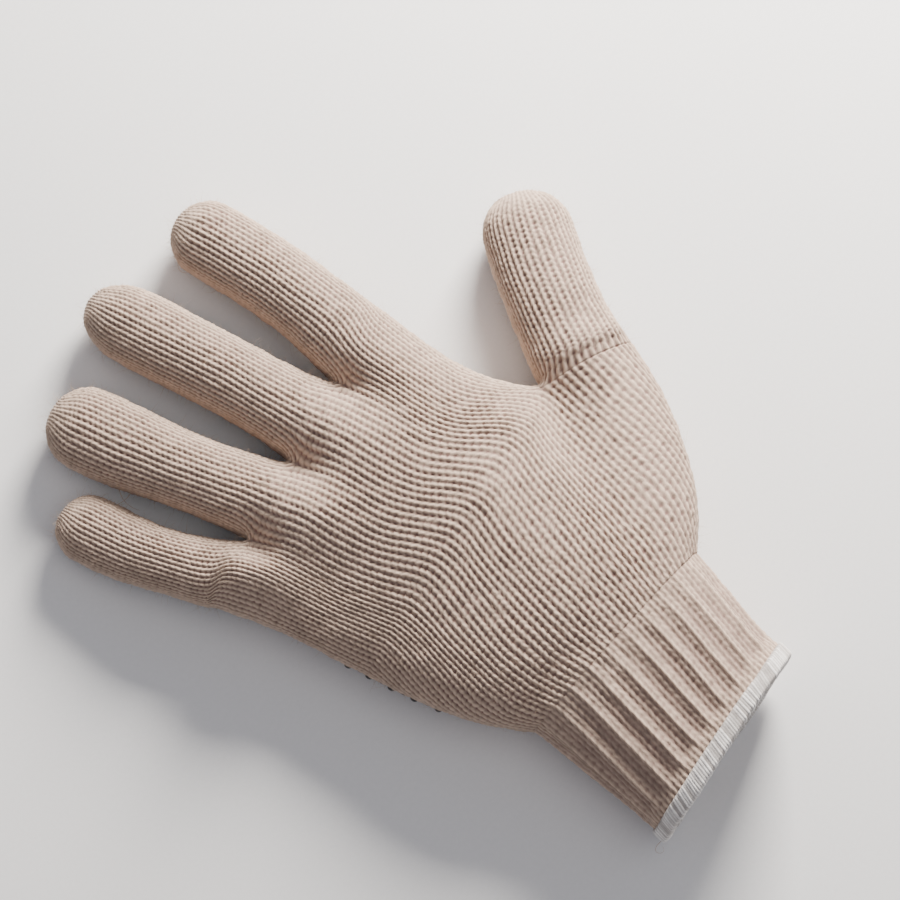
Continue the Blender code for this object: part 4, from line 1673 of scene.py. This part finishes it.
@dataclass(frozen=True)
class Fuzz:
    """Loose fibres all over the knit, and a few stray ends of yarn.

    lean and curl say how far a fibre leaves the surface's own direction and how far it bends,
    point is its thickness at the loose end as a share of that at the root, and off_axis a
    direction that no fibre runs along.
    """

    fibres: int = 3000
    shortest: float = 0.9 * MM
    longest: float = 2.8 * MM
    lean: float = 0.6
    curl: float = 0.5
    fibre_radius: float = 0.034 * MM
    fibre_steps: int = 3
    stray_radius: float = 0.10 * MM
    stray_steps: int = 16
    sides: int = 3
    off_axis: tuple[float, float, float] = (0.3, 0.5, 0.8)
    point: float = 0.3
    lowest_normal: float = -0.3
    relief: float = 0.9
    seed: int = 31

    def build(self, skin: Skin) -> bpy.types.Object:
        """Scatters the fibres, adds the stray ends and joins them all.

        Args:
            skin: The hand's skin.

        Returns:
            The piece.
        """
        cloth = Cloth("loose_fibres")
        self.tubes(cloth, self.scattered(skin), self.fibre_radius, self.fibre_steps)
        strays = np.array(STRAY_ENDS) * MM + skin.shift
        self.tubes(cloth, strays, self.stray_radius, self.stray_steps)
        return cloth.finish()

    def scattered(self, skin: Skin) -> np.ndarray:
        """Four control points for each fibre, rooted in the upper and side faces of the skin.

        Args:
            skin: The hand's skin.

        Returns:
            The control points, four rows for each fibre.
        """
        rng = np.random.default_rng(self.seed)
        roots, ways = [], []
        while len(roots) < self.fibres:
            patch = skin.patches[rng.integers(len(skin.patches))]
            s, t = rng.uniform(size=(2, 1))
            point, normal = patch.sample(s, t)
            if normal[0, 2] > self.lowest_normal:
                roots.append(point[0])
                ways.append(normal[0])
        size = (self.fibres, 3)
        way = np.array(ways) + self.lean * rng.normal(size=size)
        way /= np.linalg.norm(way, axis=1, keepdims=True)
        bend = self.curl * rng.normal(size=size)
        third = rng.uniform(self.shortest, self.longest, (self.fibres, 1)) / 3
        points = [np.array(roots)]
        for step in range(3):
            points.append(points[-1] + (way + step * bend) * third)
        return np.stack(points, axis=1)

    def tubes(self, cloth: Cloth, controls: np.ndarray, radius: float, steps: int) -> None:
        """Adds thin tubes along cubic curves, thinner towards their loose ends.

        Args:
            cloth: What they are added to.
            controls: Four control points for each tube.
            radius: Their radius at the root.
            steps: How many pieces each is made of.
        """
        t = np.linspace(0, 1, steps + 1)
        weights = np.stack([(1 - t) ** 3, 3 * t * (1 - t) ** 2, 3 * t**2 * (1 - t), t**3])
        lines = np.einsum("nkc,ks->nsc", controls, weights)
        along = np.gradient(lines, axis=1)
        side = np.cross(along, self.off_axis)
        side /= np.linalg.norm(side, axis=-1, keepdims=True)
        other = np.cross(along, side)
        other /= np.linalg.norm(other, axis=-1, keepdims=True)
        thick = (radius * (1 - (1 - self.point) * t))[None, :, None]
        ring = []
        for turn in (2 * math.pi * k / self.sides for k in range(self.sides)):
            ring.append(lines + (side * math.cos(turn) + other * math.sin(turn)) * thick)
        points = np.stack(ring, axis=2)
        points[..., 2] = np.maximum(points[..., 2], 0.0)
        numbers = cloth.add(points, np.full(points.shape[:3], self.relief))
        for k in range(self.sides):
            a, b = numbers[:, :, k], numbers[:, :, (k + 1) % self.sides]
            four = (a[:, :-1], b[:, :-1], b[:, 1:], a[:, 1:])
            cloth.quads.append(np.stack(four, axis=-1).reshape(-1, 4))
        cloth.rims.extend(numbers[:, 0, ::-1].tolist())
        cloth.rims.extend(numbers[:, -1].tolist())


GRAIN_DETAIL = 5.0
GRAIN_ROUGHNESS = 0.68
GRAIN_RANGE = (0.3, 0.7)


def grain(made: bpy.types.Material, scale: float, low: float, high: float
          ) -> tuple[bpy.types.NodeSocket, bpy.types.NodeSocket]:
    """Adds a noise that is fixed to the piece.

    Args:
        made: The material.
        scale: How fine the noise is.
        low: What its dark places are turned into.
        high: What its light places are turned into.

    Returns:
        The sockets of the noise itself and of the value between low and high.
    """
    nodes, links = made.node_tree.nodes, made.node_tree.links
    place = nodes.new("ShaderNodeTexCoord")
    noise = nodes.new("ShaderNodeTexNoise")
    noise.inputs["Scale"].default_value = scale
    noise.inputs["Detail"].default_value = GRAIN_DETAIL
    noise.inputs["Roughness"].default_value = GRAIN_ROUGHNESS
    links.new(place.outputs["Object"], noise.inputs["Vector"])
    spread = nodes.new("ShaderNodeMapRange")
    spread.inputs["From Min"].default_value = GRAIN_RANGE[0]
    spread.inputs["From Max"].default_value = GRAIN_RANGE[1]
    spread.inputs["To Min"].default_value = low
    spread.inputs["To Max"].default_value = high
    links.new(noise.outputs["Fac"], spread.inputs["Value"])
    return noise.outputs["Fac"], spread.outputs["Result"]


def roughen(made: bpy.types.Material, height: bpy.types.NodeSocket, strength: float, depth: float
            ) -> None:
    """Bumps a material's surface.

    Args:
        made: The material.
        height: The socket that gives the height.
        strength: How strongly it shows.
        depth: How deep it is, in metres.
    """
    nodes, links = made.node_tree.nodes, made.node_tree.links
    bump = nodes.new("ShaderNodeBump")
    bump.inputs["Strength"].default_value = strength
    bump.inputs["Distance"].default_value = depth
    links.new(height, bump.inputs["Height"])
    links.new(bump.outputs["Normal"], nodes["Principled BSDF"].inputs["Normal"])


@dataclass(frozen=True)
class YarnFinish:
    """A matt yarn, coloured by its relief: its own colour on the crests, and painted shade on the slopes
    and in the holes.

    heights are the reliefs that these colours stand at, and shading is the range that the
    mottled noise scales them by.
    """

    name: str
    hole: tuple[float, float, float]
    slope: tuple[float, float, float]
    crest: tuple[float, float, float]
    heights: tuple[float, float, float] = (0.04, 0.42, 0.88)
    mottle_scale: float = 340.0
    shading: tuple[float, float] = (0.78, 1.14)
    fibre_scale: float = 2200.0
    fibre: float = 0.6
    fibre_depth: float = 0.3 * MM
    roughness: float = 0.92
    sheen: float = 0.10
    sheen_roughness: float = 0.5
    specular: float = 0.2

    def material(self) -> bpy.types.Material:
        """The finish as a material that reads the pieces' relief and paints its lower parts darker as
        shade.

        Returns:
            The material.
        """
        made = bpy.data.materials.new(self.name)
        made.use_nodes = True
        nodes, links = made.node_tree.nodes, made.node_tree.links
        shader = nodes["Principled BSDF"]
        relief = nodes.new("ShaderNodeAttribute")
        relief.attribute_name = "relief"
        # painted shade: the ramp runs from the crest colour down to the darker slope and hole colours
        ramp = nodes.new("ShaderNodeValToRGB")
        ramp.color_ramp.elements[0].position = self.heights[0]
        ramp.color_ramp.elements[0].color = (*self.hole, 1.0)
        ramp.color_ramp.elements[1].position = self.heights[2]
        ramp.color_ramp.elements[1].color = (*self.crest, 1.0)
        middle = ramp.color_ramp.elements.new(self.heights[1])
        middle.color = (*self.slope, 1.0)
        links.new(relief.outputs["Fac"], ramp.inputs["Fac"])
        shade = nodes.new("ShaderNodeVectorMath")
        shade.operation = "SCALE"
        links.new(ramp.outputs["Color"], shade.inputs[0])
        links.new(grain(made, self.mottle_scale, *self.shading)[1], shade.inputs["Scale"])
        links.new(shade.outputs["Vector"], shader.inputs["Base Color"])
        roughen(made, grain(made, self.fibre_scale, 0.0, 1.0)[0], self.fibre, self.fibre_depth)
        shader.inputs["Roughness"].default_value = self.roughness
        shader.inputs["Sheen Weight"].default_value = self.sheen
        shader.inputs["Sheen Roughness"].default_value = self.sheen_roughness
        shader.inputs["Specular IOR Level"].default_value = self.specular
        return made


@dataclass(frozen=True)
class GrainedFinish:
    """A finish whose colour, gloss and surface vary with a fine grain."""

    name: str
    colour: tuple[float, float, float]
    roughness: float
    scale: float
    contrast: float
    depth: float
    bump: float = 0.3

    def material(self) -> bpy.types.Material:
        """The finish as a material.

        Returns:
            The material.
        """
        made = bpy.data.materials.new(self.name)
        made.use_nodes = True
        nodes, links = made.node_tree.nodes, made.node_tree.links
        shader = nodes["Principled BSDF"]
        height, scaled = grain(made, self.scale, 1.0 - self.contrast, 1.0 + self.contrast)
        shade = nodes.new("ShaderNodeVectorMath")
        shade.operation = "SCALE"
        shade.inputs[0].default_value = self.colour
        links.new(scaled, shade.inputs["Scale"])
        links.new(shade.outputs["Vector"], shader.inputs["Base Color"])
        gloss = nodes.new("ShaderNodeMath")
        gloss.operation = "MULTIPLY"
        gloss.inputs[0].default_value = self.roughness
        links.new(scaled, gloss.inputs[1])
        links.new(gloss.outputs["Value"], shader.inputs["Roughness"])
        roughen(made, height, self.bump, self.depth)
        return made


# crest is the cotton's own colour; slope and hole are darker as painted shade on the yarn's flanks and in
# the holes
COTTON = YarnFinish(
    name="natural_cotton", hole=(0.215, 0.127, 0.108), slope=(0.33, 0.238, 0.192),
    crest=(0.58, 0.440, 0.338),
)
# crest is the white yarn's own colour; slope and hole are greyer as painted shade between the threads
OVERLOCK = YarnFinish(
    name="white_yarn", hole=(0.32, 0.285, 0.265), slope=(0.56, 0.525, 0.50), crest=(0.84, 0.815, 0.79)
)
DOT_RUBBER = GrainedFinish("black_rubber", (0.012, 0.012, 0.013), 0.42, 1800.0, 0.2, 0.1 * MM)
FLOOR_PAPER = GrainedFinish("floor_paper", (0.90, 0.90, 0.90), 0.93, 700.0, 0.02, 0.05 * MM)


@dataclass(frozen=True)
class Lamp:
    """A square soft light that faces the glove, its place and size in metres and power in watts."""

    name: str
    place: tuple[float, float, float]
    size: float
    power: float
    colour: tuple[float, float, float]

    def build(self) -> None:
        """Adds the light."""
        deselect()
        bpy.ops.object.light_add(type="AREA", location=self.place)
        light = bpy.context.active_object
        light.name = self.name
        light.data.size = self.size
        light.data.energy = self.power
        light.data.color = self.colour
        light.rotation_euler = (-Vector(self.place)).to_track_quat("-Z", "Y").to_euler()


LAMPS = (
    Lamp("key", (0.62, 0.12, 0.31), 0.30, 24.0, (1.0, 0.945, 0.88)),
    Lamp("fill", (0.10, -0.30, 1.20), 0.9, 2.5, (1.0, 0.97, 0.94)),
)


@dataclass(frozen=True)
class Studio:
    """The floor, the light and the camera."""

    azimuth: float = math.radians(-60)
    elevation: float = math.radians(79)
    distance: float = 1.2
    lens: float = 157.0
    aim: tuple[float, float, float] = (0.0, 0.0, 0.015)
    floor_size: float = 6.0
    sky_colour: tuple[float, float, float] = (0.90, 0.90, 1.0)
    sky_strength: float = 0.33

    def build(self) -> None:
        """Sets all of it up round the origin."""
        deselect()
        bpy.ops.mesh.primitive_plane_add(size=self.floor_size, location=(0.0, 0.0, 0.0))
        floor = bpy.context.active_object
        floor.name = "floor"
        floor.data.materials.append(FLOOR_PAPER.material())
        floor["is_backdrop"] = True
        world = bpy.data.worlds.new("studio")
        bpy.context.scene.world = world
        world.use_nodes = True
        sky = world.node_tree.nodes["Background"].inputs
        sky["Color"].default_value = (*self.sky_colour, 1.0)
        sky["Strength"].default_value = self.sky_strength
        for lamp in LAMPS:
            lamp.build()
        horizontal = Vector((-math.sin(self.azimuth), math.cos(self.azimuth), 0.0))
        ahead = horizontal * math.cos(self.elevation) - Vector((0, 0, math.sin(self.elevation)))
        deselect()
        bpy.ops.object.camera_add(location=Vector(self.aim) - ahead * self.distance)
        camera = bpy.context.active_object
        camera.rotation_euler = ahead.to_track_quat("-Z", "Y").to_euler()
        camera.data.lens = self.lens
        bpy.context.scene.camera = camera


def settle(piece: bpy.types.Object, node: str, finish: bpy.types.Material) -> None:
    """Gives a piece its material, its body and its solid.

    Args:
        piece: The piece.
        node: The solid that it replaces, or nothing.
        finish: Its material.
    """
    piece.data.materials.clear()
    piece.data.materials.append(finish)
    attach(piece, "root")
    if node:
        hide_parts(node)


def main() -> None:
    """Builds the glove's looks and the studio."""
    logging.basicConfig(level=logging.INFO, format="%(name)s: %(message)s")
    sizes = HandSizes()
    skin = Skin(sizes)
    skin.build()
    cotton, white, rubber = COTTON.material(), OVERLOCK.material(), DOT_RUBBER.material()
    hand = [patch for patch in skin.patches if patch.chart.zone is Zone.HAND]
    settle(skin.knit("hand_back", [p for p in hand if not p.chart.palm]), "hand", cotton)
    settle(skin.knit("hand_palm", [p for p in hand if p.chart.palm]), "hand", cotton)
    for zone in (stall.zone for stall in (*STALLS, THUMB_STALL)):
        chosen = [patch for patch in skin.patches if patch.chart.zone is zone]
        settle(skin.knit(zone.value + "_knit", chosen), zone.value, cotton)
    settle(GripDots().build(skin), "", rubber)
    settle(Fuzz().build(skin), "", cotton)
    line = CuffLine(sizes, skin.shift)
    settle(Cuff().build(line, skin), "cuff", cotton)
    settle(Hem().build(line), "hem", white)
    Studio().build()
    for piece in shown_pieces():
        log.info("%s: %d faces", piece.name, len(piece.data.polygons))


if __name__ == "__main__":
    main()
